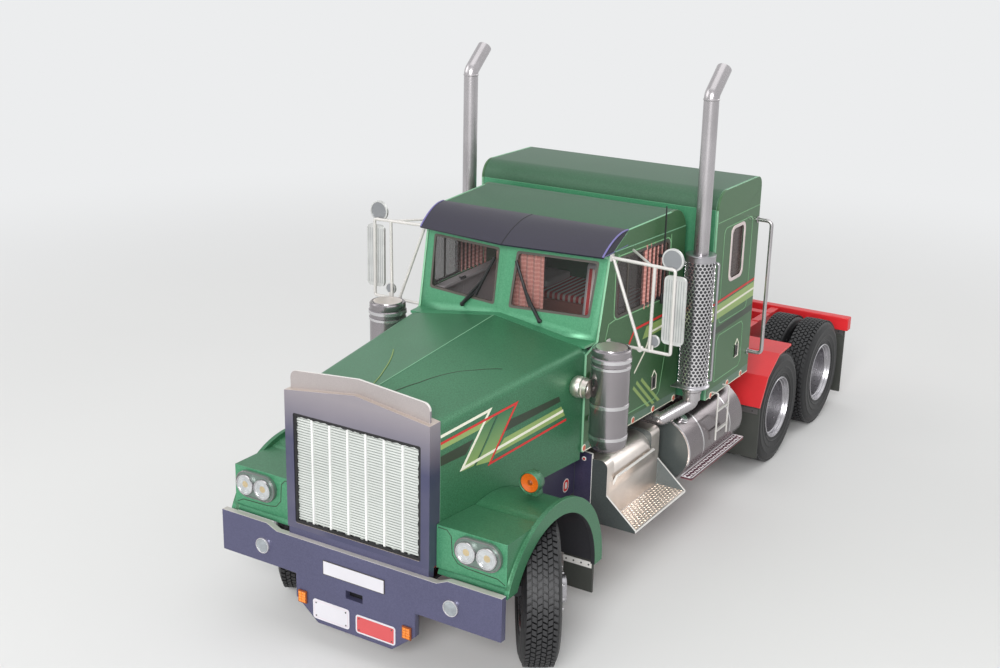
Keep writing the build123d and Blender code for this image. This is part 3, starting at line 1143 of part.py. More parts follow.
def box_outline(side, top, corner):
    """Box seen from the front, its outer top corner rounded."""
    outer = side * STEP_BOX_OUTER_X
    polygon((side * STEP_INNER_X, STEP_BOX_BOTTOM), (outer, STEP_BOX_BOTTOM), (outer, top - corner),
            (outer - side * corner, top), (side * STEP_INNER_X, top))
    with Locations((outer - side * corner, top - corner)):
        Circle(corner)


with BuildPart() as step_boxes:
    for side_name, side in SIDES:
        for start, end, top, corner in ((STEP_FRONT_Y, COVER_FRONT_Y, STEP_BOX_TOP, STEP_BOX_ROUND),
                                        (COVER_FRONT_Y, COVER_REAR_Y, COVER_TOP, COVER_ROUND),
                                        (COVER_REAR_Y, STEP_REAR_Y, STEP_BOX_TOP, STEP_BOX_ROUND)):
            with BuildSketch(front_plane(start)):
                box_outline(side, top, corner)
            extrude(amount=start - end)
        with BuildSketch(front_plane(COVER_FRONT_Y)):
            polygon(*[(side * x, z) for x, z in LIP_STRIP])
        extrude(amount=COVER_FRONT_Y - COVER_REAR_Y)
        slab((side * (STEP_BOX_OUTER_X - CARD), side * STEP_OUTER_X), (STEP_FRONT_Y, STEP_REAR_Y),
             (STEP_BOTTOM, STEP_BOTTOM + CARD))
        slab((side * (STEP_BOX_OUTER_X - CARD), side * STEP_BOX_OUTER_X), (STEP_FRONT_Y, STEP_REAR_Y),
             (STEP_BOTTOM, STEP_BOX_BOTTOM))
        for place in (STEP_FRONT_Y - CARD, STEP_REAR_Y - CARD):
            with BuildSketch(front_plane(place)):
                polygon((side * GUSSET_INNER_X, STEP_BOTTOM), (side * STEP_OUTER_X, STEP_BOTTOM),
                        (side * STEP_OUTER_X, STEP_BOTTOM + CARD), (side * GUSSET_INNER_X, GUSSET_TOP_Z))
            extrude(amount=-CARD)
        with BuildSketch(front_plane(STEP_FRONT_Y - CARD)):
            plate_inner = side * STEP_PLATE[0][0]
            polygon((plate_inner, STEP_BOTTOM), (plate_inner, STEP_PLATE[0][1]),
                    (side * STEP_PLATE[1][0], STEP_PLATE[1][1]), (side * STEP_PLATE[1][0], STEP_BOTTOM))
            box_outline(side, STEP_BOX_TOP, STEP_BOX_ROUND)
        extrude(amount=-CARD)
        slab((plate_inner, plate_inner - side * CARD), SIDE_PLATE_Y, SIDE_PLATE_Z)
        slab((side * STEP_INNER_X, plate_inner), (SIDE_PLATE_Y[1] - SIDE_BRACKET, SIDE_PLATE_Y[1]),
             (SIDE_PLATE_Z[0], RAIL_TOP))
step_boxes.part.label = "step_boxes"
export_step(step_boxes.part, "parts/step_boxes.step")

TANK_BRACKET_INSET = 4.4    # from each end of the tank
TANK_BRACKETS_Y = (TANK_FRONT_Y + TANK_BRACKET_INSET, TANK_REAR_Y - TANK_BRACKET_INSET - BRACKET)
with BuildPart() as fuel_tanks:
    for side_name, side in SIDES:
        rod((side * TANK_X, TANK_FRONT_Y, TANK_Z), (side * TANK_X, TANK_REAR_Y, TANK_Z), TANK_RADIUS)
        for place in TANK_BRACKETS_Y:
            slab((side * (RAIL_OUTER_X + SEAT_GAP), side * TANK_X), (place, place + BRACKET),
                 (TANK_Z - BRACKET, TANK_Z + BRACKET))
fuel_tanks.part.label = "fuel_tanks"
export_step(fuel_tanks.part, "parts/fuel_tanks.step")

LADDER_TOP = 48.8
LADDER_FOOT = 32.4
RUNGS_Z = (34.4, 41.6)
STANDOFF_RADIUS = 0.45
TANK_STEP_TOP = TANK_STEP_Z + CARD
TANK_STEP_INNER_X = TANK_X + sqrt(TANK_RADIUS ** 2 - (TANK_Z - TANK_STEP_TOP) ** 2) + SEAT_GAP
with BuildPart() as tank_steps:
    for side_name, side in SIDES:
        slab((side * TANK_STEP_INNER_X, side * TANK_STEP_OUTER_X),
             (TANK_FRONT_Y - TANK_STEP_LEAD, TANK_REAR_Y - TANK_STEP_SHORT),
             (TANK_STEP_Z, TANK_STEP_TOP))
        for place in LADDER_Y:
            rod((side * LADDER_X, place, LADDER_FOOT), (side * LADDER_X, place, LADDER_TOP),
                LADDER_RADIUS)
            rod((side * (SLEEPER_HALF + SEAT_GAP), place, LADDER_TOP - LADDER_RADIUS),
                (side * LADDER_X, place, LADDER_TOP - LADDER_RADIUS), STANDOFF_RADIUS)
        for level in RUNGS_Z:
            rod((side * LADDER_X, LADDER_Y[0], level), (side * LADDER_X, LADDER_Y[1], level),
                STANDOFF_RADIUS)
tank_steps.part.label = "tank_steps"
export_step(tank_steps.part, "parts/tank_steps.step")

with BuildPart() as grab_handles:
    for side_name, side in SIDES:
        place = SLEEPER_REAR_Y - HANDLE_SETBACK
        wall = side * (SLEEPER_HALF + SEAT_GAP)
        grip = side * (SLEEPER_HALF + HANDLE_STAND)
        rod((grip, place, HANDLE_Z[0] - HANDLE_RADIUS), (grip, place, HANDLE_Z[1] + HANDLE_RADIUS),
            HANDLE_RADIUS)
        for level in HANDLE_Z:
            rod((wall, place, level), (grip, place, level), HANDLE_RADIUS - SEAT_GAP)
grab_handles.part.label = "grab_handles"
export_step(grab_handles.part, "parts/grab_handles.step")

MIRROR_PLATE_DEPTH = 1.0
MIRROR_POST_X = (MIRROR_PLATE[0] + MIRROR_PLATE[1]) / 2
with BuildPart() as mirrors:
    for side_name, side in SIDES:
        inner, outer, bottom, top = MIRROR_PLATE
        cab_face = side * (cab_half(MIRROR_Y + MIRROR_TUBE) + SEAT_GAP)
        post = side * MIRROR_POST_X
        elbow = (side * MIRROR_FOOT_X, MIRROR_Y, MIRROR_FOOT_Z)
        with BuildSketch(front_plane(MIRROR_Y + MIRROR_TUBE / 2)):
            with Locations((post, (bottom + top) / 2)):
                RectangleRounded(outer - inner, top - bottom, WINDOW_ROUND)
            with Locations((side * WIDE_MIRROR_X, WIDE_MIRROR_Z)):
                Circle(WIDE_MIRROR_RADIUS)
            with Locations((side * SPOT_MIRROR_X, SPOT_MIRROR_Z)):
                Circle(SPOT_MIRROR_RADIUS)
        extrude(amount=-MIRROR_PLATE_DEPTH)
        rod((cab_face, MIRROR_Y, MIRROR_TOP_Z), (post, MIRROR_Y, MIRROR_TOP_Z), MIRROR_TUBE)
        rod((post, MIRROR_Y, MIRROR_FOOT_Z), (post, MIRROR_Y, MIRROR_TOP_Z), MIRROR_TUBE)
        rod((cab_face, MIRROR_Y, MIRROR_FOOT_Z), (post, MIRROR_Y, MIRROR_FOOT_Z), MIRROR_TUBE)
        rod((cab_face + side * MIRROR_TUBE, MIRROR_Y, MIRROR_TOP_Z), elbow, MIRROR_TUBE)
        rod((side * MIRROR_STAY_X, MIRROR_Y, MIRROR_TOP_Z), (side * MIRROR_STAY_X, MIRROR_Y, MIRROR_FOOT_Z),
            MIRROR_TUBE)
mirrors.part.label = "mirrors"
export_step(mirrors.part, "parts/mirrors.step")

# --- rear ----------------------------------------------------------------------------------
THROAT_HALF = 9.0           # at one plate radius behind the plate
THROAT_NECK = 0.4 * KINGPIN_BORE
PEDESTAL = 10.0
with BuildPart() as fifth_wheel:
    with BuildSketch(plan_plane(PLATE_TOP - PLATE_THICKNESS)):
        with Locations((0, PLATE_Y)):
            Circle(PLATE_RADIUS)
            Circle(KINGPIN_BORE, mode=Mode.SUBTRACT)
        rear = PLATE_Y + 2 * PLATE_RADIUS
        Polygon((-THROAT_NECK, PLATE_Y), (THROAT_NECK, PLATE_Y), (THROAT_HALF, rear),
                (-THROAT_HALF, rear), align=None, mode=Mode.SUBTRACT)
    extrude(amount=PLATE_THICKNESS)
    for side_name, side in SIDES:
        slab((side * (RAIL_OUTER_X - RAIL_FLANGE), side * RAIL_OUTER_X),
             (PLATE_Y - PEDESTAL / 2, PLATE_Y + PEDESTAL / 2), (RAIL_TOP, PLATE_TOP - PLATE_THICKNESS))
fifth_wheel.part.label = "fifth_wheel"
export_step(fifth_wheel.part, "parts/fifth_wheel.step")

BEAM_SLOT = (8.0, 2.6)      # width, height
with BuildPart() as rear_beam:
    with BuildSketch(front_plane(LENGTH - BEAM_DEPTH)):
        with Locations((0, (BEAM_BOTTOM + BEAM_TOP) / 2)):
            Rectangle(2 * BEAM_HALF, BEAM_TOP - BEAM_BOTTOM)
            Rectangle(*BEAM_SLOT, mode=Mode.SUBTRACT)
    extrude(amount=-BEAM_DEPTH)
rear_beam.part.label = "rear_beam"
export_step(rear_beam.part, "parts/rear_beam.step")

QUARTER_PLATE = 0.8


def quarter_point(angle, radius):
    """Point in front of the first drive wheel, at an angle up from the horizontal."""
    return (DRIVE_AXLES_Y[0] - radius * cos(radians(angle)), TYRE_RADIUS + radius * sin(radians(angle)))


QUARTER_FOOT = quarter_point(QUARTER_ANGLES[0], QUARTER_RADIUS)
with BuildPart() as quarter_fenders:
    for side_name, side in SIDES:
        with BuildSketch(side_plane(side * (RAIL_OUTER_X + SEAT_GAP))):
            lower = [quarter_point(angle, QUARTER_RADIUS) for angle in QUARTER_ANGLES]
            upper = [quarter_point(angle, QUARTER_RADIUS + QUARTER_PLATE) for angle in QUARTER_ANGLES]
            polygon(*lower, *reversed(upper))
        extrude(amount=side * (QUARTER_X[1] - RAIL_OUTER_X - SEAT_GAP))
quarter_fenders.part.label = "quarter_fenders"
export_step(quarter_fenders.part, "parts/quarter_fenders.step")

with BuildPart() as mud_flaps:
    for side_name, side in SIDES:
        beam_middle = LENGTH - BEAM_DEPTH / 2
        slab((side * REAR_FLAP_X[0], side * REAR_FLAP_X[1]), (beam_middle - FLAP / 2, beam_middle + FLAP / 2),
             (REAR_FLAP_BOTTOM, BEAM_BOTTOM))
        slab((side * QUARTER_X[0], side * QUARTER_X[1]),
             (QUARTER_FOOT[0] - FLAP / 2, QUARTER_FOOT[0] + FLAP / 2),
             (MID_FLAP_BOTTOM, QUARTER_FOOT[1] - SEAT_GAP))
        flap_y = ARCH_Y + ARCH_INNER
        slab((side * FRONT_FLAP_X[0], side * FRONT_FLAP_X[1]), (flap_y, flap_y + FLAP),
             (FRONT_FLAP_BOTTOM, ARCH_FOOT_Z))
mud_flaps.part.label = "mud_flaps"
export_step(mud_flaps.part, "parts/mud_flaps.step")
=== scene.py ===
"""A semi truck tractor unit as a card scale model: finishes, printed graphics and fine pieces on the CAD frame."""

import math

import bmesh
import bpy
from mathutils import Matrix, Vector
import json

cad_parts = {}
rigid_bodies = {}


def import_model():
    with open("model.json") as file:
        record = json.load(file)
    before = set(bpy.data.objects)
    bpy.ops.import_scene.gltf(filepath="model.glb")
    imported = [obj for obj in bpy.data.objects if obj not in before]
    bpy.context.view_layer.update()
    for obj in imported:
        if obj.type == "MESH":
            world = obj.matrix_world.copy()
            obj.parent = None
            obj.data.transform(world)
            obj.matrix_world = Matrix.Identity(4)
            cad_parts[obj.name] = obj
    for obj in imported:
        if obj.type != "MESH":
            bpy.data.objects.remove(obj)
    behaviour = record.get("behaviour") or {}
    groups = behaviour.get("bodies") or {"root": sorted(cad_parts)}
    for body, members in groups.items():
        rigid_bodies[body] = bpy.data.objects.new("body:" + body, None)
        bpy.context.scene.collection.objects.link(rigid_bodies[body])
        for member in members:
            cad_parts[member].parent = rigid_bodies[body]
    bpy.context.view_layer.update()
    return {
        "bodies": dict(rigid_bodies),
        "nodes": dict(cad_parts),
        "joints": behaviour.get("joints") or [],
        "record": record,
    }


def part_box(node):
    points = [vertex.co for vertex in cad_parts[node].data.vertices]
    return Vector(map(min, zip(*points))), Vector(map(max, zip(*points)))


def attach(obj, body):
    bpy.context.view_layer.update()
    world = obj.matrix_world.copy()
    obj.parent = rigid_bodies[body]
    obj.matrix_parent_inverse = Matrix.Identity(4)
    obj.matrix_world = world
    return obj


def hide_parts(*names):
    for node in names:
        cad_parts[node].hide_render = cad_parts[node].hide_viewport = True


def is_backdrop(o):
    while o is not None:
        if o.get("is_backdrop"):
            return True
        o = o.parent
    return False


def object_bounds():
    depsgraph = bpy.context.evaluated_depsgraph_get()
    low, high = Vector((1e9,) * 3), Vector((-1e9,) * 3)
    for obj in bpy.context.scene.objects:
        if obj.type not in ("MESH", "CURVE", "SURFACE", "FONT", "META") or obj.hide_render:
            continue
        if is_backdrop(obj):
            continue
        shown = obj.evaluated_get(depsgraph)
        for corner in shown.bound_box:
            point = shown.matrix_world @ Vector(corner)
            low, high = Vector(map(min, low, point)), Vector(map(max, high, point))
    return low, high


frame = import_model()

MM = 0.001
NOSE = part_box("front_bumper")[0].y          # front face of the bumper
SIDES = (("left", 1), ("right", -1))
LEFT = Vector((1, 0, 0))
WORLD_UP = Vector((0, 0, 1))
REARWARD = Vector((0, 1, 0))
FORWARD = -REARWARD
CARD = 0.8


def at(x, behind, z):
    """The point x, millimetres behind the nose and z in the row frame."""
    return Vector((x * MM, NOSE + behind * MM, z * MM))


# ---------------------------------------------------------------- materials

def feed(tree, node, inputs):
    """Sets each input of a node to a value, or links a socket to it."""
    for place, value in inputs.items():
        if isinstance(value, bpy.types.NodeSocket):
            tree.links.new(value, node.inputs[place])
        else:
            node.inputs[place].default_value = value


def add_node(tree, kind, inputs=None, **settings):
    """A new shader node with its settings and inputs."""
    node = tree.nodes.new("ShaderNode" + kind)
    for setting, value in settings.items():
        setattr(node, setting, value)
    feed(tree, node, inputs or {})
    return node


def object_place(tree):
    """The object's own coordinates."""
    return add_node(tree, "TexCoord").outputs["Object"]


def noise(tree, scale, detail=4.0, stretch=(1, 1, 1)):
    """Noise in the object's own coordinates; stretch draws it out along an axis."""
    place = add_node(tree, "Mapping", {"Vector": object_place(tree), "Scale": stretch}).outputs["Vector"]
    return add_node(tree, "TexNoise", {"Vector": place, "Scale": scale, "Detail": detail}).outputs["Fac"]


def ramp(tree, factor, low, high, start=0.3, end=0.7):
    """A colour ramp from low to high over the given stretch of factor."""
    node = add_node(tree, "ValToRGB", {"Fac": factor})
    for element, position, colour in zip(node.color_ramp.elements, (start, end), (low, high)):
        element.position, element.color = position, (*colour, 1)
    return node.outputs["Color"]


def spread(tree, factor, low, high, start=0.0, end=1.0, **settings):
    """factor mapped from start..end to low..high."""
    return add_node(tree, "MapRange", {"Value": factor, "From Min": start, "From Max": end, "To Min": low,
                                       "To Max": high}, **settings).outputs["Result"]


def bump(tree, height, strength, distance=0.1):
    """A normal with bumps of at most distance millimetres."""
    return add_node(tree, "Bump", {"Height": height, "Strength": strength,
                                   "Distance": distance * MM}).outputs["Normal"]


MIX_FACTOR, MIX_LOW, MIX_HIGH, MIX_RESULT = 0, 6, 7, 2     # a Mix node's colour sockets


def mixed(tree, factor, low, high):
    """low and high, colours or sockets, mixed by factor."""
    low, high = ((*value, 1) if isinstance(value, tuple) else value for value in (low, high))
    return add_node(tree, "Mix", {MIX_FACTOR: factor, MIX_LOW: low, MIX_HIGH: high},
                    data_type="RGBA").outputs[MIX_RESULT]


def linear(red, green, blue):
    """Linear colour of an sRGB colour given in 0..255."""
    shares = (value / 255 for value in (red, green, blue))
    return tuple(share / 12.92 if share <= 0.04045 else ((share + 0.055) / 1.055) ** 2.4 for share in shares)


def shade(colour, share):
    """The colour times share, at most white."""
    return tuple(min(1.0, value * share) for value in colour)


def finish(recipe):
    """Decorator: recipe(tree, ...) gives a shader's inputs, and finish makes it a function that makes the
    material of a name."""
    def make(name, *values, **more):
        material = bpy.data.materials.new(name)
        material.use_nodes = True
        tree = material.node_tree
        feed(tree, tree.nodes["Principled BSDF"], recipe(tree, *values, **more))
        return material
    return make


@finish
def surface(tree, colour, variation=0.12, metallic=0.0, roughness=(0.4, 0.55), cloud=60, grain=1800,
            grain_strength=0.25, coat=0.0, sheen=0.0):
    """A printed or painted surface: clouded colour, uneven gloss and a fine grain."""
    base, fine = linear(*colour), noise(tree, grain, 6.0)
    return {"Base Color": ramp(tree, noise(tree, cloud), shade(base, 1 - variation), shade(base, 1 + variation)),
            "Roughness": spread(tree, fine, *roughness), "Normal": bump(tree, fine, grain_strength),
            "Metallic": metallic, "Coat Weight": coat, "Coat Roughness": 0.25, "Sheen Weight": sheen}


@finish
def pearl_card(tree, colour, glint, metallic=0.35, roughness=(0.36, 0.5), fleck=0.3):
    """Card printed in a metallic ink: a deep colour, softly clouded, with a fine lighter fleck."""
    base, fibres = linear(*colour), noise(tree, 2600, 8.0)
    clouds = ramp(tree, noise(tree, 45), shade(base, 0.88), base)
    return {"Base Color": mixed(tree, spread(tree, fibres, -fleck, fleck + 0.2), clouds, linear(*glint)),
            "Roughness": spread(tree, fibres, *roughness), "Normal": bump(tree, fibres, 0.14, 0.05),
            "Metallic": metallic, "Coat Weight": 0.12, "Coat Roughness": 0.35}


@finish
def brushed_foil(tree, colour, stretch=(1, 1, 0.06), roughness=(0.22, 0.38), strength=0.1):
    """Silver foil card, brushed along one axis."""
    base, brushing = linear(*colour), noise(tree, 1500, 5.0, stretch)
    return {"Base Color": ramp(tree, noise(tree, 60), shade(base, 0.8), base), "Metallic": 0.92,
            "Roughness": spread(tree, brushing, *roughness), "Normal": bump(tree, brushing, strength, 0.02)}


@finish
def clear_film(tree, haze_reflection_tint, thin=0.1, glancing=0.5):
    """Clear film: seen through from the front, with a gloss and a tint that grow at a glancing angle; the tint is
    partly the film's haze and partly painted reflection.
    """
    base = linear(*haze_reflection_tint)
    facing = add_node(tree, "LayerWeight", {"Blend": 0.3}).outputs["Facing"]
    return {"Base Color": ramp(tree, noise(tree, 40), shade(base, 0.8), base), "Roughness": 0.05,
            "Alpha": spread(tree, facing, thin, glancing)}


@finish
def height_fade(tree, low, high, bottom, top, metallic=0.25, roughness=(0.36, 0.5)):
    """A colour that fades from low at the height bottom to high at top, in millimetres: print on the hood, a painted
    reflection on the shell.
    """
    height = add_node(tree, "SeparateXYZ", {"Vector": object_place(tree)}).outputs["Z"]
    low, high, fibres = linear(*low), linear(*high), noise(tree, 2600, 8.0)
    fade = mixed(tree, spread(tree, height, 0.0, 1.0, bottom * MM, top * MM), low, high)
    return {"Base Color": mixed(tree, spread(tree, noise(tree, 60), -0.2, 0.35), fade, high),
            "Roughness": spread(tree, fibres, *roughness), "Normal": bump(tree, fibres, 0.12, 0.04),
            "Metallic": metallic}


@finish
def striped(tree, low, high, pitch, axis, share=0.5):
    """Stripes of two colours across an axis, pitch millimetres from one to the next."""
    wave = add_node(tree, "TexWave", {"Vector": object_place(tree), "Scale": 2 * math.pi / (20 * pitch * MM),
                                      "Distortion": 0.15}, wave_type="BANDS", bands_direction=axis)
    weave = noise(tree, 2600, 6.0)
    stripes = ramp(tree, wave.outputs["Fac"], linear(*low), linear(*high), 0.94 - share, 1.06 - share)
    return {"Base Color": stripes, "Roughness": spread(tree, weave, 0.7, 0.9),
            "Normal": bump(tree, weave, 0.4, 0.08), "Sheen Weight": 0.25}


GREEN = pearl_card("green_card", (52, 108, 74), (104, 172, 134), 0.3, (0.34, 0.48))
# The roof, side and front greens are the one green card in shaded and lit copies: painted shade on roofs and sides,
# painted light on fronts.
GREEN_SHADED_ROOF = pearl_card("roof_green_card", (46, 84, 60), (84, 128, 98), 0.12, (0.42, 0.56))
GREEN_SHADED_SIDE = pearl_card("side_green_card", (60, 98, 62), (100, 144, 100), 0.25, (0.36, 0.5))
GREEN_LIT_FRONT = pearl_card("front_green_card", (66, 136, 98), (118, 182, 146), 0.3, (0.32, 0.46))
GREEN_DARK = pearl_card("dark_green_print", (40, 54, 38), (60, 80, 56), 0.15)
GREEN_LIGHT = pearl_card("light_green_print", (148, 174, 100), (172, 196, 130), 0.15)
BLUE_GREY = pearl_card("blue_grey_card", (76, 76, 104), (110, 110, 142), 0.3, (0.28, 0.4), 0.2)
VISOR_BLUE = pearl_card("visor_card", (30, 27, 42), (56, 52, 78), 0.05, (0.4, 0.55), 0.25)
LIP_GREY = pearl_card("lip_card", (166, 158, 157), (196, 190, 186), 0.45, (0.3, 0.42), 0.2)
# The crease grey is the paler grey of faces that look up: painted light from above.
UPWARD_LIT_GREY = pearl_card("crease_card", (198, 184, 174), (224, 212, 204), 0.4, (0.25, 0.4), 0.2)
LOUVRE = pearl_card("louvre_card", (196, 200, 196), (212, 214, 211), 0.1, (0.4, 0.55), 0.1)
LOUVRE_SHADE = pearl_card("louvre_shade", (150, 155, 151), (166, 170, 166), 0.1, (0.45, 0.6), 0.1)
BAR_WHITE = pearl_card("bar_card", (222, 222, 220), (230, 230, 228), 0.1, (0.35, 0.5), 0.1)
BEZEL = pearl_card("bezel_card", (104, 120, 112), (140, 154, 146), 0.4, (0.3, 0.42), 0.2)
SKIRT = pearl_card("skirt_print", (84, 116, 96), (136, 160, 140), 0.3)
TANK_END = pearl_card("tank_end_card", (86, 93, 92), (118, 124, 122), 0.4, (0.26, 0.38), 0.2)
STEP_DARK = pearl_card("step_dark_card", (72, 78, 78), (104, 110, 108), 0.3, (0.28, 0.42), 0.2)
STEP_BLUE = pearl_card("step_blue_card", (62, 58, 84), (92, 88, 118), 0.3, (0.28, 0.42), 0.2)
# The shell's grey pales from bluish dark at its foot to light at its top: a painted reflection on the satin foil.
SHELL_REFLECTION_FADE = height_fade("shell_card", (76, 77, 104), (150, 144, 150), 62.0, 77.0, 0.5, (0.26, 0.4))
GREEN_FADE = height_fade("fading_green", (158, 184, 110), (52, 112, 78), 57.0, 71.5)
RED = surface("red_card", (206, 34, 40), 0.1, 0.0, (0.34, 0.5), coat=0.15)
DARK = surface("dark_card", (38, 38, 42), 0.2, 0.0, (0.45, 0.65))
FLAP = surface("flap_card", (58, 60, 56), 0.16, 0.0, (0.5, 0.7))
BLACK = surface("black_edge", (16, 16, 18), 0.25, 0.0, (0.4, 0.6))
TYRE = surface("tyre_card", (17, 17, 19), 0.22, 0.0, (0.42, 0.62), grain=900, grain_strength=0.5)
TREAD = surface("tread_top", (36, 36, 38), 0.25, 0.0, (0.45, 0.65), grain=1400)
WHITE = surface("white_print", (236, 234, 216), 0.05, 0.0, (0.42, 0.55))
SKIRT_DOT = surface("skirt_dot_print", (206, 92, 62), 0.1, 0.0, (0.3, 0.45), coat=0.3)
RED_PRINT = surface("red_print", (206, 44, 42), 0.08, 0.0, (0.42, 0.55))
EDGE_GREEN = surface("green_edge", (126, 176, 142), 0.1, 0.1, (0.45, 0.6))
EDGE_VIOLET = surface("violet_edge", (108, 102, 156), 0.1, 0.0, (0.35, 0.5))
GREY = surface("grey_card", (168, 166, 164), 0.1, 0.0, (0.5, 0.7))
FRAME_GREY = surface("frame_print", (74, 70, 64), 0.14, 0.0, (0.4, 0.55))
SALMON = surface("salmon_print", (184, 122, 112), 0.12, 0.0, (0.5, 0.7))
AMBER = surface("amber_glass", (196, 88, 12), 0.14, 0.0, (0.1, 0.2), grain_strength=0.1, coat=0.6)
LENS = surface("lamp_lens", (184, 187, 188), 0.16, 0.45, (0.12, 0.24), 400, grain_strength=0.1, coat=0.6)
LINING = surface("cab_lining", (186, 178, 180), 0.1, 0.0, (0.5, 0.7))
BUMPER_TOP_LIGHT = surface("bumper_edge", (192, 188, 182), 0.08, 0.3, (0.3, 0.45))
PLATE_WHITE = surface("plate_white", (202, 200, 205), 0.05, 0.0, (0.4, 0.55))
PLATE_RED = surface("plate_red", (194, 78, 80), 0.08, 0.0, (0.4, 0.55))
PLATE_LINE = surface("plate_line", (204, 184, 192), 0.08, 0.0, (0.4, 0.55))
WARM = surface("warm_glass", (176, 158, 122), 0.14, 0.1, (0.16, 0.28), grain_strength=0.1, coat=0.5)
FOG_GLASS = surface("fog_glass", (150, 156, 160), 0.2, 0.4, (0.1, 0.2), 500, grain_strength=0.1, coat=0.6)
AMBER_PALE = surface("pale_amber_glass", (228, 128, 34), 0.14, 0.0, (0.15, 0.3), grain_strength=0.1, coat=0.5)
AMBER_FRAME = surface("amber_frame", (128, 62, 20), 0.12, 0.0, (0.3, 0.45))
OLIVE_LINE = surface("olive_line_print", (136, 158, 84), 0.1, 0.0, (0.4, 0.55))
DOOR_LINE = surface("door_line_print", (128, 178, 132), 0.1, 0.0, (0.42, 0.55))
FRAME_PALE = surface("pale_frame", (214, 200, 198), 0.08, 0.1, (0.35, 0.5))
SEAT_GREY = surface("seat_cloth", (170, 168, 170), 0.14, 0.0, (0.7, 0.85), grain=2600, sheen=0.3)
SEAT_PALE = surface("seat_pale_cloth", (206, 204, 206), 0.1, 0.0, (0.7, 0.85), grain=2600, sheen=0.3)
STEP_MAUVE = surface("tank_step_card", (96, 62, 72), 0.12, 0.2, (0.35, 0.5))
STEP_LOZENGE = surface("tank_step_lozenge", (236, 232, 234), 0.06, 0.1, (0.3, 0.45))
STEP_RED = surface("tank_step_red", (150, 34, 38), 0.12, 0.0, (0.4, 0.55))
EDGE_WHITE = surface("white_edge", (222, 220, 216), 0.06, 0.1, (0.45, 0.6))
ARM_SILVER = surface("mirror_arm_card", (204, 201, 197), 0.06, 0.25, (0.3, 0.45))
EDGE_RED = surface("red_edge", (226, 84, 82), 0.08, 0.0, (0.45, 0.6))
MIRROR_CARD = surface("mirror_card", (196, 197, 195), 0.1, 0.45, (0.3, 0.45), 200)
HOLE_SHADE_GREY = surface("hole_grey", (64, 66, 68), 0.12, 0.2, (0.4, 0.55))
DISC_GREY = surface("mirror_disc", (138, 140, 143), 0.1, 0.4, (0.28, 0.42))
FIFTH = surface("fifth_wheel_card", (96, 98, 102), 0.14, 0.35, (0.35, 0.5))
RED_LENS = surface("red_lens", (196, 22, 22), 0.12, 0.0, (0.14, 0.24), grain_strength=0.1, coat=0.6)
FOIL = brushed_foil("silver_foil", (182, 180, 184))
FOIL_BRIGHT = brushed_foil("turned_silver", (216, 214, 216), (1, 1, 1), (0.16, 0.28), 0.03)
FOIL_DULL = brushed_foil("dull_silver", (142, 138, 138), (1, 1, 1), (0.34, 0.5), 0.04)
FOIL_CAN = brushed_foil("can_silver", (158, 153, 156), (1, 1, 0.03), (0.2, 0.28), 0.02)
RIM_SILVER = brushed_foil("rim_silver", (178, 176, 180), (1, 1, 1), (0.22, 0.36), 0.08)
FOIL_PIPE = brushed_foil("pipe_silver", (188, 184, 186), (1, 1, 0.04), (0.22, 0.34), 0.04)
FOIL_PLATE = brushed_foil("plate_silver", (232, 223, 216), (1, 0.3, 1), (0.26, 0.4), 0.03)
FOIL_TREAD = brushed_foil("tread_silver", (232, 210, 190), (1, 1, 1), (0.24, 0.4), 0.04)
FOIL_TANK = brushed_foil("tank_silver", (134, 127, 129), (1, 0.04, 1), (0.18, 0.28), 0.01)
MIRROR_FACE = brushed_foil("mirror_face", (224, 226, 230), (1, 1, 1), (0.04, 0.1), 0.05)
# The films' grey-brown tints are partly haze and partly painted reflection; the side windows' darker, more opaque tint
# is mostly painted reflection.
GLASS = clear_film("window_film", (84, 82, 82), 0.08, 0.4)
SIDE_GLASS = clear_film("side_window_film", (70, 62, 60), 0.42, 0.75)
CURTAIN = striped("curtain_print", (178, 116, 108), (198, 142, 132), 1.4, "Z", 0.35)
BENCH = striped("bench_print", (190, 60, 62), (232, 222, 216), 2.2, "X", 0.42)

SLOT_FINISHES = {
    "green_card": GREEN, "silver_card": FOIL, "blue_grey_card": BLUE_GREY, "red_card": RED,
    "dark_card": DARK, "tyre_card": TYRE, "lamp_card": LENS, "amber_card": AMBER,
    "clear_film": GLASS, "grey_card": GREY, "striped_card": SALMON,
}

for part in frame["record"]["subparts"]:        # every CAD node gets the finish of its slot in the record
    node_materials = frame["nodes"][part["node"]].data.materials
    node_materials.clear()
    node_materials.append(SLOT_FINISHES[part["material_slot"]])


# ------------------------------------------------------------ mesh helpers

def row(mesh, points):
    """New vertices at the points."""
    return [mesh.verts.new(point) for point in points]


def join_rows(mesh, rows, index=0, closed=True):
    """Faces from each row of vertices to the next. A closed row comes round to its start, a row of one vertex
    is a tip, and index may be a list with one entry a step."""
    steps = index if isinstance(index, (list, tuple)) else [index] * (len(rows) - 1)
    for near, far, ink in zip(rows, rows[1:], steps):
        count = max(len(near), len(far))
        for i in range(count if closed else count - 1):
            j = (i + 1) % count
            corners = dict.fromkeys((near[i % len(near)], near[j % len(near)], far[j % len(far)], far[i % len(far)]))
            if len(corners) > 2:
                mesh.faces.new(tuple(corners)).material_index = ink


def add_prism(mesh, outline, depth, index=0):
    """Outline as a flat face, drawn out by the vector depth."""
    near, far = row(mesh, outline), row(mesh, [point + depth for point in outline])
    for face in (near[::-1], far):
        mesh.faces.new(face).material_index = index
    join_rows(mesh, [near, far], index)


def add_front_prism(mesh, outline, behind, depth, index=0):
    """An (x, z) outline on an upright plane behind the nose, drawn out rearward by depth millimetres."""
    add_prism(mesh, [at(x, behind, z) for x, z in outline], REARWARD * depth * MM, index)


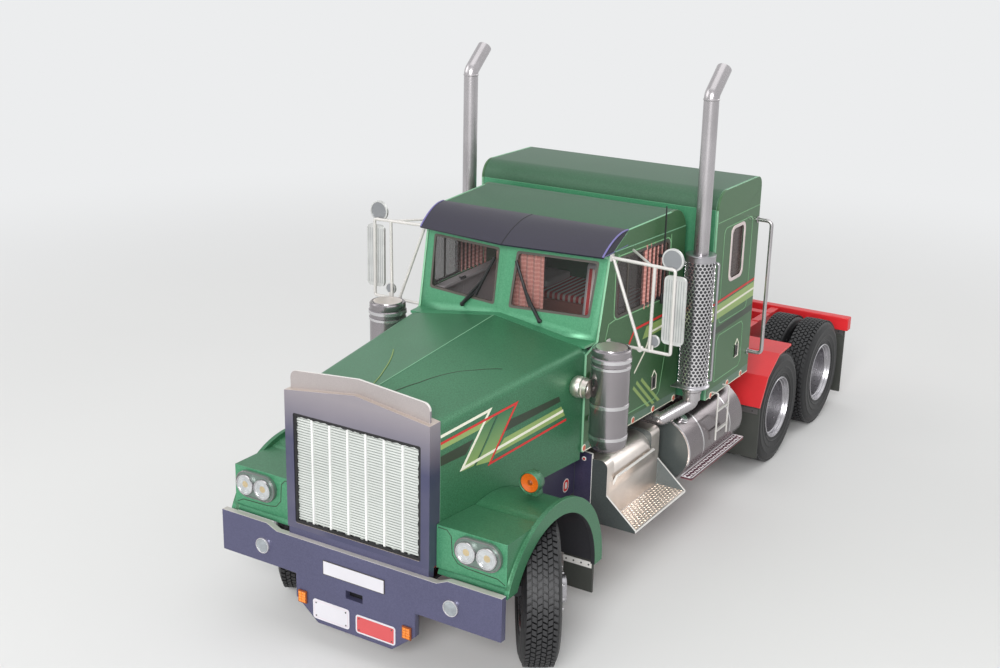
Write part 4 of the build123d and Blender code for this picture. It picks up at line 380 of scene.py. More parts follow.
def add_section(mesh, outline, x, depth, index=0):
    """A (behind the nose, z) outline on the plane x, drawn out sideways by depth millimetres."""
    add_prism(mesh, [at(x, behind, z) for behind, z in outline], Vector((depth * MM, 0, 0)), index)


def rectangle(low, high):
    """The four corners of a rectangle."""
    return [low, (high[0], low[1]), high, (low[0], high[1])]


def add_block(mesh, low, high, index=0):
    """A box between two (x, behind the nose, z) corners in millimetres."""
    outline = [at(x, behind, low[2]) for x, behind in rectangle(low[:2], high[:2])]
    add_prism(mesh, outline, WORLD_UP * (high[2] - low[2]) * MM, index)


def angles(count, turn=0.0):
    """Equal steps round a circle, from turn steps on."""
    return [2 * math.pi * (i + turn) / count for i in range(count)]


def around(axis, angle):
    """The unit vector square to a unit axis, at an angle round it."""
    first = axis.cross(WORLD_UP if abs(axis.z) < 0.9 else REARWARD).normalized()
    return first * math.cos(angle) + axis.cross(first) * math.sin(angle)


def ring(centre, axis, radius, count, turn=0.0):
    """Places on a circle round an axis."""
    return [centre + around(axis, angle) * radius * MM for angle in angles(count, turn)]


def add_lathe(mesh, profile, centre, axis, segments, index=0):
    """A turned form: profile is (radius, distance along the axis) in millimetres, open at both ends
    unless a radius is 0. index may be a list with one entry for each step of the profile."""
    axis = axis.normalized()
    join_rows(mesh, [row(mesh, ring(centre + axis * along * MM, axis, radius, segments if radius else 1))
                     for radius, along in profile], index)


def add_tube(mesh, path, radius, segments=12, index=0):
    """A round tube of one radius or a list of radii along a list of points, with flat ends."""
    radii = radius if isinstance(radius, (list, tuple)) else [radius] * len(path)
    rings, side = [], None
    for i, (point, size) in enumerate(zip(path, radii)):
        direction = (path[min(i + 1, len(path) - 1)] - path[max(i - 1, 0)]).normalized()
        side = side or around(direction, 0)
        side = (side - direction * side.dot(direction)).normalized()
        other = direction.cross(side)
        rings.append(row(mesh, [point + (side * math.cos(a) + other * math.sin(a)) * size * MM
                                for a in angles(segments)]))
    join_rows(mesh, rings, index)
    for face in (rings[0][::-1], rings[-1]):
        mesh.faces.new(face).material_index = index


def bezier(start, middle, end, steps):
    """Points of a quadratic curve."""
    shares = [i / steps for i in range(steps + 1)]
    return [start * (1 - t) ** 2 + middle * 2 * t * (1 - t) + end * t ** 2 for t in shares]


REACH_SHARE = 0.48                      # how much of a stretch the rounding at its end may take


def rounded_path(corners, radius, steps=6):
    """The corner points with every inner corner rounded to radius millimetres."""
    points = [corners[0]]
    for before, corner, after in zip(corners, corners[1:], corners[2:]):
        incoming, outgoing = before - corner, after - corner
        setback = min(radius * MM / math.tan(incoming.angle(outgoing) / 2), incoming.length * REACH_SHARE,
                      outgoing.length * REACH_SHARE)
        start, end = (corner + way.normalized() * setback for way in (incoming, outgoing))
        points += bezier(start, corner, end, steps)
    return points + [corners[-1]]


CORNER_STEPS = 5


def soft_corners(corners, radius):
    """A (u, v) outline with every corner rounded."""
    spots = [Vector(corner) for corner in corners]
    outcome = []
    for before, corner, after in zip(spots[-1:] + spots, spots, spots[1:] + spots[:1]):
        start, end = (corner + (other - corner).normalized() * radius for other in (before, after))
        outcome += bezier(start, corner, end, CORNER_STEPS)
    return outcome


def round_outline(low, high, radius, steps=CORNER_STEPS, inset=0.0):
    """(u, v) points of a rectangle drawn in by inset, with rounded corners."""
    shift = radius + inset
    centres = rectangle((low[0] + shift, low[1] + shift), (high[0] - shift, high[1] - shift))
    return [(u + radius * math.cos(angle), v + radius * math.sin(angle))
            for turn, (u, v) in enumerate(centres[2:] + centres[:2])
            for angle in (math.pi / 2 * (turn + i / steps) for i in range(steps + 1))]


def ring_outline(outline, inset):
    """The outline together with itself drawn inward, as quads of a frame."""
    middle = [sum(values) / len(outline) for values in zip(*outline)]
    shares = [1 - inset / max(abs(value - centre) for value in values)
              for values, centre in zip(zip(*outline), middle)]
    inner = [tuple(centre + (value - centre) * share for value, centre, share in zip(point, middle, shares))
             for point in outline]
    return list(zip(outline, outline[1:] + outline[:1], inner[1:] + inner[:1], inner))


MITRE_LEAST = 0.3                       # keeps the mitre of a sharp corner short


def stroke(points, width):
    """Outline of a line of that width through (u, v) points, mitred at its corners."""
    spots = [Vector(point) for point in points]
    ways = [(after - spot).normalized() for spot, after in zip(spots, spots[1:])]
    left, right = [], []
    for spot, incoming, outgoing in zip(spots, ways[:1] + ways, ways + ways[-1:]):
        square = Vector((-incoming.y, incoming.x))
        middle = square + Vector((-outgoing.y, outgoing.x))
        middle = middle.normalized() if middle.length > 1e-6 else square
        reach = width / 2 / max(MITRE_LEAST, middle.dot(square))
        left.append(spot + middle * reach)
        right.append(spot - middle * reach)
    return left + right[::-1]


def stroke_quads(points, width):
    """The line of stroke(), one quad for each of its stretches."""
    outline = stroke(points, width)
    left, right = outline[:len(points)], outline[len(points):][::-1]
    return list(zip(left, left[1:], right[1:], right))


def new_piece(name, build, materials, slot, body="chassis", replaces=(), smooth=30, bevel=0.0):
    """Builds one piece into a fresh mesh and hands it to the frame."""
    mesh = bmesh.new()
    build(mesh)
    bmesh.ops.recalc_face_normals(mesh, faces=mesh.faces)
    hand_over(name, mesh, materials, body, replaces, smooth, bevel)


def piece(materials, slot, **more):
    """Decorator: the function fills the mesh of the piece of its name."""
    return lambda build: new_piece(build.__name__, build, materials, slot, **more)


def pair(materials, slot, **more):
    """Decorator like piece, for a function of a mesh and a side: 1 for the left, -1 for the right."""
    def both(build):
        new_piece(build.__name__, lambda mesh: [build(mesh, side) for _, side in SIDES], materials, slot, **more)
    return both


def place_object(name, data):
    """A new object in the scene."""
    made = bpy.data.objects.new(name, data)
    bpy.context.scene.collection.objects.link(made)
    return made


BEVEL_STEPS = 2
BEVEL_FROM = math.radians(35)           # only edges sharper than this are rounded


def hand_over(name, mesh, materials, body, replaces, smooth, bevel):
    """Makes an object of a mesh, with its materials, edges and body."""
    data = bpy.data.meshes.new(name)
    mesh.to_mesh(data)
    mesh.free()
    for material in materials:
        data.materials.append(material)
    made = place_object(name, data)
    for polygon in data.polygons:
        polygon.use_smooth = True
    data.set_sharp_from_angle(angle=math.radians(smooth))
    if bevel:
        rounding = made.modifiers.new("edges", "BEVEL")
        rounding.width = bevel * MM
        rounding.segments = BEVEL_STEPS
        rounding.limit_method = "ANGLE"
        rounding.angle_limit = BEVEL_FROM
    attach(made, body)
    if replaces:
        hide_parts(*replaces)


FOLD_ANGLE = math.radians(50)           # panels that meet more flatly than this are one folded sheet
JOIN_DISTANCE = 1e-6
FLAT_ANGLE = math.radians(1)


def narrow(face, width):
    """True for the cut edge of a card panel: a strip no wider than width millimetres, square to its panels."""
    if 2 * face.calc_area() / max(face.calc_perimeter(), 1e-9) > width * MM:
        return False
    longest = max(edge.calc_length() for edge in face.edges)
    return not any(edge.calc_length() > 0.5 * longest and len(edge.link_faces) == 2
                   and edge.calc_face_angle(0) < FOLD_ANGLE for edge in face.edges)


def dressed_copy(name, node, materials, bevel=0.14, edge_width=0.95, paint=None):
    """The CAD node's own form with joined faces, softened edges and, where a second material is given,
    its cut edges in that material. paint(face, index) may give a face another one. It stands for the node."""
    mesh = bmesh.new()
    mesh.from_mesh(frame["nodes"][node].data)
    bmesh.ops.remove_doubles(mesh, verts=mesh.verts, dist=JOIN_DISTANCE)
    bmesh.ops.dissolve_limit(mesh, angle_limit=FLAT_ANGLE, verts=mesh.verts, edges=mesh.edges)
    for face in mesh.faces:
        index = 1 if len(materials) > 1 and narrow(face, edge_width) else 0
        face.material_index = paint(face, index) if paint else index
    hand_over(name, mesh, materials, "chassis", (node,), 30, bevel)


# ------------------------------------------------- walls and what is printed on them

def taper(start, end):
    """A size that changes evenly between two (behind the nose, size) places."""
    return lambda behind: start[1] + (end[1] - start[1]) * (behind - start[0]) / (end[0] - start[0])


hood_wall = taper((6.5, 24.7), (72.0, 32.0))        # half-widths
cab_wall = taper((72.4, 32.8), (131.5, 36.4))
sleeper_wall = taper((136.0, 45.7), (172.4, 45.7))
hood_corner = taper((6.5, 75.9), (72.0, 80.2))      # heights
hood_crest = taper((6.5, 78.9), (72.0, 84.7))


def add_print(mesh, wall, side, outline, index, lift, sheet):
    """A (behind the nose, z) shape printed on a side wall, lying lift off it."""
    points = [at(side * (wall(behind) + lift - sheet), behind, z) for behind, z in outline]
    add_prism(mesh, points, Vector((side * sheet * MM, 0, 0)), index)


def add_prints(mesh, wall, side, prints):
    """Prints of (points, the line's width or 0 for a filled shape, ink, lift, sheet)."""
    for points, width, index, lift, sheet in prints:
        add_print(mesh, wall, side, stroke(points, width) if width else points, index, lift, sheet)


def add_frame(mesh, wall, side, low, high, radius, width, lift, index):
    """A raised rounded frame on a side wall."""
    for quad in ring_outline(round_outline(low, high, radius, 6), width):
        add_print(mesh, wall, side, quad, index, lift, lift + 0.1)


# ------------------------------------------------------------- front end

SHELL_Y = 1.4               # front face of the radiator shell
SHELL_LIP_Z = 78.4          # the lip shows above this
SHELL_FOOT = ((-24.4, 31.6), (24.4, 35.0))
MESH_HALF = 21.75
MESH_Z = (36.35, 69.95)
CUT_STEP = 0.6
LOUVRE_PITCH = 0.796
LOUVRE_SECTION = ((2.9, 0.2), (2.35, 0.22), (2.15, 0.36), (2.15, 0.96), (2.9, 1.0))     # behind, share of pitch
GRILLE_BARS = 6
BUMPER_TOP_Z = 30.0        # faces above this that look up are pale: painted light from above
PLATES = (((-10.8, 23.7), (10.8, 28.1)), ((-14.7, 8.6), (-1.6, 14.9)), ((0.7, 8.7), (14.5, 14.5)))
PLATE_RIVET = ((0, 0.1), (0.24, 0.09), (0.26, 0))
PLATE_RIVET_INSET = (1.2, 1.1)
TOW_HOLE = ((-3.3, 2.22, 17.9), (3.3, 2.35, 21.1))
BAR_HALF = 0.32


def bumper_paint(face, _):
    """The bumper's faces along its top that look up are pale: painted light from above."""
    return 1 if face.normal.z > 0.5 and face.calc_center_median().z > BUMPER_TOP_Z * MM else 0


dressed_copy("bumper", "front_bumper", [BLUE_GREY, BUMPER_TOP_LIGHT], bevel=0.16, paint=bumper_paint)


@piece([PLATE_WHITE, PLATE_RED, FRAME_GREY, PLATE_LINE], "lamp_card", bevel=0.04)
def blank_plates(mesh):
    """A framed plate on the bumper and two with round corners and rivets below it, all blank."""
    for place, (low, high) in enumerate(PLATES):
        radius, inset = (0.9, 0.5) if place else (0.12, 0.2)
        add_front_prism(mesh, round_outline(low, high, radius), -0.22, 0.21, 0 if place else 2)
        inner = round_outline(low, high, max(radius - inset, 0.05), inset=inset)
        if place == 1:
            for quad in ring_outline(inner, 0.14):
                add_front_prism(mesh, quad, -0.25, 0.04, 3)
        else:
            add_front_prism(mesh, inner, -0.27, 0.06, 1 if place else 0)
        across, up = PLATE_RIVET_INSET
        for x, z in rectangle((low[0] + across, low[1] + up), (high[0] - across, high[1] - up)) if place else ():
            add_lathe(mesh, PLATE_RIVET, at(x, -0.26, z), FORWARD, 10, 2)


@piece([BLACK], "dark_card")
def tow_hole(mesh):
    """The dark bottom of the tow hole."""
    add_block(mesh, *TOW_HOLE)


def shell_paint(face, _):
    """The shell's lip and the lip's edge have their own greys, and the creases that look up a paler grey: painted light
    from above.
    """
    middle, normal = face.calc_center_median(), face.normal
    behind, height = (middle.y - NOSE) / MM, middle.z / MM
    if height > SHELL_LIP_Z and SHELL_Y + 1.5 < behind < SHELL_Y + 2.5:
        return 1 if abs(normal.y) > 0.9 else 2
    return 3 if normal.z > 0.9 else 0


dressed_copy("shell", "radiator_shell", [SHELL_REFLECTION_FADE, LIP_GREY, EDGE_WHITE, UPWARD_LIT_GREY],
             bevel=0.16, paint=shell_paint)


@piece([BLUE_GREY], "silver_card")
def shell_foot(mesh):
    """The strip under the shell."""
    add_front_prism(mesh, rectangle(*SHELL_FOOT), SHELL_Y + 0.3, 2.4)


@piece([BLACK], "dark_card")
def mesh_outline(mesh):
    """The hand-cut black outline of the shell's opening."""
    def cut(place):
        return 0.85 + 0.12 * math.sin(2.3 * place) + 0.07 * math.sin(5.1 * place + 1) + 0.06 * math.sin(11.7 * place)

    def places(start, end):
        return [end] + [start + CUT_STEP * i for i in range(int((end - start) / CUT_STEP), -1, -1)]

    low, high = MESH_Z
    for inward, z in ((1, low), (-1, high)):
        inner = [(x, z + inward * cut(x + z)) for x in places(-MESH_HALF, MESH_HALF)]
        add_front_prism(mesh, [(-MESH_HALF, z), (MESH_HALF, z)] + inner, SHELL_Y + 0.2, 0.9)
    for inward, x in ((1, -MESH_HALF), (-1, MESH_HALF)):
        inner = [(x + inward * cut(z + x), z) for z in places(low, high)]
        add_front_prism(mesh, [(x, low), (x, high)] + inner, SHELL_Y + 0.25, 0.9)


@piece([LOUVRE], "silver_card", replaces=("grille",))
def louvres(mesh):
    """Pressed louvres across the grille."""
    low, high = MESH_Z
    count = round((high - low) / LOUVRE_PITCH)
    pitch = (high - low) / count
    for i in range(count):
        section = [(behind, low + (i + share) * pitch) for behind, share in LOUVRE_SECTION]
        add_section(mesh, section, -MESH_HALF, 2 * MESH_HALF)


@piece([LOUVRE_SHADE], "silver_card")
def grille_sheet(mesh):
    """The shaded sheet behind the louvres."""
    add_front_prism(mesh, rectangle((-MESH_HALF, MESH_Z[0]), (MESH_HALF, MESH_Z[1])), 2.55, 0.8)


@piece([BAR_WHITE], "silver_card", bevel=0.08)
def grille_bars(mesh):
    """Upright bars in front of the louvres."""
    for i in range(GRILLE_BARS):
        x = (i - (GRILLE_BARS - 1) / 2) * 2 * MESH_HALF / (GRILLE_BARS + 1)
        add_front_prism(mesh, rectangle((x - BAR_HALF, MESH_Z[0]), (x + BAR_HALF, MESH_Z[1])), 1.85, 0.9)


HEADLAMPS_X = (35.4, 42.0)
HEADLAMP_Z = 42.3
HEADLAMP_RADIUS = 3.15
BEZEL_MARGIN = HEADLAMP_RADIUS + 0.95
LAMP_FACE_Y = 3.3           # front of the bezel
LAMP_DEPTH = 1.15
FOG_LAMP = (33.0, 26.5)
FOG_RADIUS = 2.45
FOG_DEPTH = 0.75
BEZEL_LINE = 0.3
POD_FACE_Y = 4.7
POD_LINE = ((25.4, 46.4), (28.2, 46.3), (29.6, 44.8), (30.0, 39.4), (31.8, 37.3), (35.0, 36.7),
            (44.5, 36.4), (46.8, 35.2))


def mirrored(side, outline):
    """An (x, z) outline put on a side."""
    return [(side * x, z) for x, z in outline]


def add_lamp(mesh, x, behind, z, r, depth, glass):
    """A round lamp: bright rim and dished, ribbed glass; headlamps have a dull centre.
    Indices: 0 rim, 1 headlamp glass, 2 its centre, 3 fog lamp glass."""
    centre = at(x, behind, z)
    add_lathe(mesh, [(r, 0), (r, depth * 0.75), (r - 0.1, depth), (r - 0.3, depth), (r - 0.38, depth * 0.8)],
              centre, FORWARD, 48, 0)
    rings = [(r - 0.36, depth * 0.82), (r * 0.74, depth * 0.92), (r * 0.7, depth * 0.86), (r * 0.56, depth * 0.96),
             (r * 0.52, depth * 0.9), (r * 0.3, depth * 0.97), (0, depth * 0.99)]
    add_lathe(mesh, rings, centre, FORWARD, 48, glass)
    if glass == 1:
        add_lathe(mesh, [(r * 0.34, depth * 0.95), (r * 0.26, depth * 1.0), (0, depth * 1.02)],
                  centre + Vector((0.25, 0, 0.25)) * MM, FORWARD, 28, 2)


@pair([BEZEL, FOIL_DULL], "lamp_card", replaces=("headlamps",), bevel=0.08)
def lamp_bezels(mesh, side):
    """A rounded bezel round the twin headlamps."""
    corners = rectangle((HEADLAMPS_X[0], HEADLAMP_Z), (HEADLAMPS_X[1], HEADLAMP_Z))
    outline = mirrored(side, round_outline(corners[0], corners[2], BEZEL_MARGIN - 0.05, 10, -BEZEL_MARGIN))
    add_front_prism(mesh, outline, LAMP_FACE_Y + 0.3, 1.0, 0)
    for quad in ring_outline(outline, BEZEL_LINE):
        add_front_prism(mesh, quad, LAMP_FACE_Y + 0.12, 0.2, 1)


@pair([FOIL_BRIGHT, LENS, WARM, FOG_GLASS], "lamp_card")
def lamps(mesh, side):
    """Twin headlamps on each fender pod, and the bumper's fog lamps."""
    for x in HEADLAMPS_X:
        add_lamp(mesh, side * x, LAMP_FACE_Y + 0.4, HEADLAMP_Z, HEADLAMP_RADIUS, LAMP_DEPTH, 1)
    add_lamp(mesh, side * FOG_LAMP[0], -0.02, FOG_LAMP[1], FOG_RADIUS, FOG_DEPTH, 3)


@pair([GREEN_DARK], "green_card")
def pod_lines(mesh, side):
    """The line printed round the pods' faces."""
    for quad in stroke_quads(mirrored(side, POD_LINE), 0.24):
        add_front_prism(mesh, quad, POD_FACE_Y - 0.04, 0.04)


FENDER_LAMP = (39.0, 29.3, 53.6)        # x, behind the nose, z of the pod's mouth
POD_FOOT = ((-2.1, -3.9), (2.1, -3.9), (1.8, -2.2), (-1.8, -2.2))       # from its middle
LAMP_POD = ((2.85, 0.7), (2.95, -0.1), (3.2, -0.1), (3.3, 0.3), (3.3, 1.4), (3.0, 3.4), (2.1, 4.6), (0, 5.0))
LAMP_DISH = ((2.9, -0.5), (2.75, -0.15), (2.3, -0.25), (1.5, -0.5), (0.8, -0.55), (0.5, -0.2), (0, -0.1))
VALANCE_LAMP = ((16.9, 12.3), (20.0, 16.2))     # x, z
VALANCE_CELL = (1.25, 0.82)             # pitch of the cells in its glass


@pair([GREEN], "green_card", bevel=0.1)
def fender_lamp_pods(mesh, side):
    """Round pods for the fenders' marker lamps, each on a foot."""
    x, behind, z = FENDER_LAMP
    add_lathe(mesh, LAMP_POD, at(side * x, behind, z), REARWARD, 44)
    add_front_prism(mesh, mirrored(side, [(x + u, z + v) for u, v in POD_FOOT]), behind + 0.9, 3.4)


@pair([AMBER, AMBER_FRAME, AMBER_PALE], "amber_card", replaces=("marker_lamps",), bevel=0.06)
def amber_lenses(mesh, side):
    """Amber glass: dished in the pods, and in cells on the square lamps of the valance."""
    x, behind, z = FENDER_LAMP
    add_lathe(mesh, LAMP_DISH, at(side * x, behind, z), FORWARD, 44, [1, 0, 0, 0, 1, 1])
    (low_x, low_z), high = VALANCE_LAMP
    add_front_prism(mesh, mirrored(side, round_outline((low_x, low_z), high, 0.12)), -0.5, 0.45, 1)
    for line in range(4):
        for column in range(2):
            u, v = low_x + 0.35 + column * VALANCE_CELL[0], low_z + 0.35 + line * VALANCE_CELL[1]
            cell = round_outline((u, v), (u + VALANCE_CELL[0] - 0.1, v + VALANCE_CELL[1] - 0.1), 0.1, 2)
            add_front_prism(mesh, mirrored(side, cell), -0.72, 0.3, 2)


# ------------------------------------------------------------- hood

HOOD_FRONT, HOOD_REAR = 6.5, 72.0
HOOD_BOTTOM = 44.0
HOOD_EDGE = 2.6
HOOD_CREASE = ((0.001, 7.0), (0.001, 71.8))
HOOD_LINE_RISE = 0.06
HOOD_CURVES = (                         # (x, behind the nose) of the two printed curves, and their ink
    (((-1.2, 9.0), (-3.4, 16.5), (-6.1, 23.1), (-9.6, 30.9), (-14.3, 38.9)), 2),
    (((4.6, 9.0), (5.9, 15.6), (7.5, 21.1), (10.6, 30.9), (15.5, 38.3), (17.9, 41.4), (20.6, 43.9)), 1),
)
HOOD_PRINTS = (                         # the striped zigzag: fades, dark stripes, light stripes and lines
    (((22.8, 69.0), (29.9, 71.0), (25.4, 64.2), (20.6, 58.9), (15.4, 58.9)), 0, 4, 0.03, 0.02),
    (((31.4, 70.9), (38.2, 71.2), (27.6, 57.8), (21.6, 58.6), (26.3, 64.2)), 0, 4, 0.03, 0.02),
    (((36.2, 67.8), (59.9, 68.1), (60.7, 66.2), (34.0, 64.8)), 0, 2, 0.03, 0.02),
    (((6.5, 66.1), (20.3, 66.9), (17.1, 63.4), (6.5, 63.3)), 0, 2, 0.03, 0.02),
    (((6.5, 69.4), (28.9, 70.9), (22.5, 68.9), (6.5, 68.0)), 0, 1, 0.045, 0.03),
    (((34.0, 62.9), (61.2, 64.5), (63.2, 61.1), (29.5, 59.2)), 0, 1, 0.045, 0.03),
    (((6.5, 71.8), (27.3, 73.4), (15.6, 59.6), (62.2, 62.9)), 0.85, 0, 0.07, 0.05),
    (((6.5, 69.8), (39.4, 72.0), (27.5, 57.2), (63.9, 59.6)), 0.7, 3, 0.09, 0.06),
    (((30.6, 70.8), (20.9, 58.7)), 0.22, 2, 0.05, 0.03),
)


def hood_ring(behind, inset):
    """(x, z) points of the hood's section, from the left foot over the crest to the right foot."""
    half, corner, radius = hood_wall(behind) - inset, hood_corner(behind) - inset, HOOD_EDGE - inset
    arc = [(half - radius + radius * math.cos(angle), corner - radius + radius * math.sin(angle))
           for angle in (math.radians(degrees) for degrees in range(0, 91, 9))]
    side = [(half, HOOD_BOTTOM)] + arc
    return side + [(0, hood_crest(behind) - inset)] + mirrored(-1, reversed(side))


@piece([GREEN, EDGE_GREEN], "green_card", replaces=("hood_top", "hood_sides"), smooth=11)
def hood(mesh):
    """One folded sheet: rounded long edges, crease along the middle."""
    outer, inner = ([row(mesh, [at(x, behind, z) for x, z in hood_ring(behind, inset)])
                     for behind in (HOOD_FRONT, HOOD_REAR)] for inset in (0, CARD))
    for rows, index in ((outer, 0), (inner, 0), ((outer[0], inner[0]), 1), ((outer[1], inner[1]), 1)):
        join_rows(mesh, rows, index, closed=False)
    for i in (0, -1):
        mesh.faces.new((outer[0][i], outer[1][i], inner[1][i], inner[0][i])).material_index = 1


def add_top_line(mesh, points, width, index):
    """A line printed on the hood's top."""
    for quad in stroke_quads(points, width):
        spots = []
        for x, behind in quad:
            share = min(1, abs(x) / (hood_wall(behind) - HOOD_EDGE))
            z = hood_crest(behind) - (hood_crest(behind) - hood_corner(behind)) * share
            spots.append(at(x, behind, z + HOOD_LINE_RISE))
        add_prism(mesh, spots, WORLD_UP * HOOD_LINE_RISE * MM, index)


@piece([EDGE_GREEN, GREEN_DARK, OLIVE_LINE], "green_card")
def hood_lines(mesh):
    """The crease and the two printed curves, each in arcs through three points."""
    add_top_line(mesh, HOOD_CREASE, 0.3, 0)
    for points, index in HOOD_CURVES:
        spots = [Vector(point) for point in points]
        curve = []
        for first, middle, last in zip(spots[::2], spots[1::2], spots[2::2]):
            curve += bezier(first, middle * 2 - (first + last) / 2, last, 8)[:-1]
        add_top_line(mesh, curve + spots[-1:], 0.26, index)


@pair([WHITE, GREEN_LIGHT, GREEN_DARK, RED_PRINT, GREEN_FADE], "green_card")
def hood_print(mesh, side):
    """The striped zigzag on both sides of the hood."""
    add_prints(mesh, hood_wall, side, HOOD_PRINTS)


TYRE_RADIUS = 21.8
FRONT_AXLE = 29.0
ARCH_RADIUS = 29.0
ARCH_INNER_X = 33.0


def fender_paint(face, index):
    """The fenders' fronts get a lighter green, painted light, and the arches are dark inside."""
    middle, normal = face.calc_center_median(), face.normal
    away = middle - at(0, FRONT_AXLE, TYRE_RADIUS)
    away.x = 0
    inside = away.length < ARCH_RADIUS * MM and abs(middle.x) > ARCH_INNER_X * MM
    if inside and normal.dot(away.normalized()) < -0.4:
        return 3
    return 2 if normal.y < -0.9 and away.y < -TYRE_RADIUS * MM and not index else index


for side_name, _ in SIDES:
    dressed_copy(f"fender_shell_{side_name}", f"fender_{side_name}", [GREEN, EDGE_GREEN, GREEN_LIT_FRONT, DARK],
                 bevel=0.22, edge_width=1.1, paint=fender_paint)


# ------------------------------------------------------------- wheels

TREAD_HALF = 4.4
TWIN_HALF = 6.25
TREAD_DEPTH = 0.85
TREAD_RIBS = 6
TREAD_BLOCKS = 66
FRONT_TRACK_HALF = 42.7
KINGPIN_INSET = 1.5
STEER_ANGLE = math.radians(34)
REAR_TRACK_HALF = 35.05
DRIVE_AXLES = (("front", 206.9), ("rear", 255.9))
WHEEL_SEGMENTS = 96
WHEEL_NUTS = 10                         # and as many hand holes between them
WALL = (                                # half of a tyre's section: radius, along the axle
    (12.1, 4.6), (12.5, 4.85), (13.1, 5.0), (13.3, 5.25), (13.7, 5.3), (13.9, 5.15), (15.4, 5.42), (15.6, 5.5),
    (16.0, 5.5), (16.2, 5.4), (18.0, 5.45), (18.2, 5.5), (18.5, 5.5), (18.7, 5.35), (19.4, 5.2), (20.1, 4.95),
    (20.7, 4.6), (TYRE_RADIUS - TREAD_DEPTH, 4.2))
FRONT_RIM = (                           # outer and inner face of a front rim: radius, along the axle
    ((11.2, -4.9), (12.05, -4.9), (12.05, 4.9), (11.75, 5.1), (11.4, 4.9), (11.0, 4.2), (10.4, 3.9), (10.2, 3.3),
     (9.0, 3.1), (8.6, 3.1), (7.9, 5.2), (7.6, 5.68), (5.2, 5.7), (4.6, 5.9), (4.2, 6.1), (3.9, 7.7), (3.5, 8.1),
     (1.4, 8.1), (0, 8.1)),
    ((11.2, -4.9), (10.9, -3.0), (10.6, 2.0), (1.57, 2.1)))
REAR_EDGE = TWIN_HALF + 4.9
REAR_RIM = (
    ((11.2, -REAR_EDGE), (12.05, -REAR_EDGE), (12.05, REAR_EDGE), (11.8, REAR_EDGE + 0.22),
     (11.45, REAR_EDGE + 0.1), (11.2, REAR_EDGE - 0.7), (10.9, REAR_EDGE - 0.9), (10.7, REAR_EDGE - 1.6),
     (10.3, REAR_EDGE - 1.9), (10.1, 6.0), (9.8, 4.0), (9.4, 2.2), (8.9, 1.5), (8.0, 1.2), (5.2, 1.2),
     (4.8, 1.6), (4.2, 2.2), (3.9, 4.0), (3.5, 4.55), (1.6, 4.6), (0, 4.6)),
    ((11.2, -REAR_EDGE), (10.9, -3.0), (10.6, 0.0), (1.87, 0.2)))
FRONT_NUTS, REAR_NUTS = (6.2, 5.6, 1.6), (7.2, 1.15, 1.5)           # circle, foot along the axle, height
FRONT_HOLES, REAR_HOLES = (9.35, 0.7, 3.2), (9.0, 0.62, 1.72)       # circle, radius, place along the axle


def wheel_places():
    """Every wheel: whether it steers, its pieces' ending, its tyre's and rim's nodes, body, centre and
    outward direction."""
    places = []
    for side_name, side in SIDES:
        outward = Vector((side * math.cos(STEER_ANGLE), side * math.sin(STEER_ANGLE), 0))
        kingpin = at(side * (FRONT_TRACK_HALF - KINGPIN_INSET), FRONT_AXLE, TYRE_RADIUS)
        places.append((True, f"steered_{side_name}", (f"front_tyre_{side_name}", f"front_rim_{side_name}"),
                       f"front_wheel_{side_name}", kingpin + outward * KINGPIN_INSET * MM, outward))
    for axle, behind in DRIVE_AXLES:
        for side_name, side in SIDES:
            ending = f"{axle}_{side_name}"
            places.append((False, ending, (f"drive_tyres_{ending}", f"drive_rim_{ending}"),
                           f"drive_wheel_{ending}", at(side * REAR_TRACK_HALF, behind, TYRE_RADIUS), LEFT * side))
    return places


def add_tread(mesh, centre, axis, middle):
    """Rows of small blocks round the tread, each row half a block out of step, with shoulder lugs."""
    pitch = 2 * math.pi / TREAD_BLOCKS
    lane = 2 * TREAD_HALF / TREAD_RIBS
    for rib in range(TREAD_RIBS):
        shoulder, odd = rib in (0, TREAD_RIBS - 1), rib % 2
        skew, length = pitch * (0.14 if odd else -0.14), pitch * (0.66 if shoulder else 0.74)
        alongs = [middle - TREAD_HALF + (rib + share) * lane for share in (0.09, 0.91)]
        radii = TYRE_RADIUS - TREAD_DEPTH - 0.1, TYRE_RADIUS - (0.1 if shoulder else 0.02)
        for angle in angles(TREAD_BLOCKS, 0.5 * odd):
            corners = ((angle - skew, alongs[0]), (angle + length - skew, alongs[0]),
                       (angle + length + skew, alongs[1]), (angle + skew, alongs[1]))
            foot, top = (row(mesh, [centre + (around(axis, turn) * radius + axis * along) * MM
                                    for turn, along in corners]) for radius in radii)
            mesh.faces.new(top).material_index = 1
            join_rows(mesh, [foot, top])


for steered, ending, nodes, body, centre, outward in wheel_places():
    def tyres(mesh):
        """Tyres with a blocky tread and ribbed walls."""
        for middle in (0,) if steered else (-TWIN_HALF, TWIN_HALF):
            section = [(radius, middle + along) for radius, along in WALL]
            section += [(radius, middle - along) for radius, along in reversed(WALL)]
            add_lathe(mesh, section + section[:1], centre, outward, WHEEL_SEGMENTS)
            add_tread(mesh, centre, outward, middle)
    new_piece(f"tyre_{ending}", tyres, [TYRE, TREAD], "tyre_card", body, nodes[:1], 28)

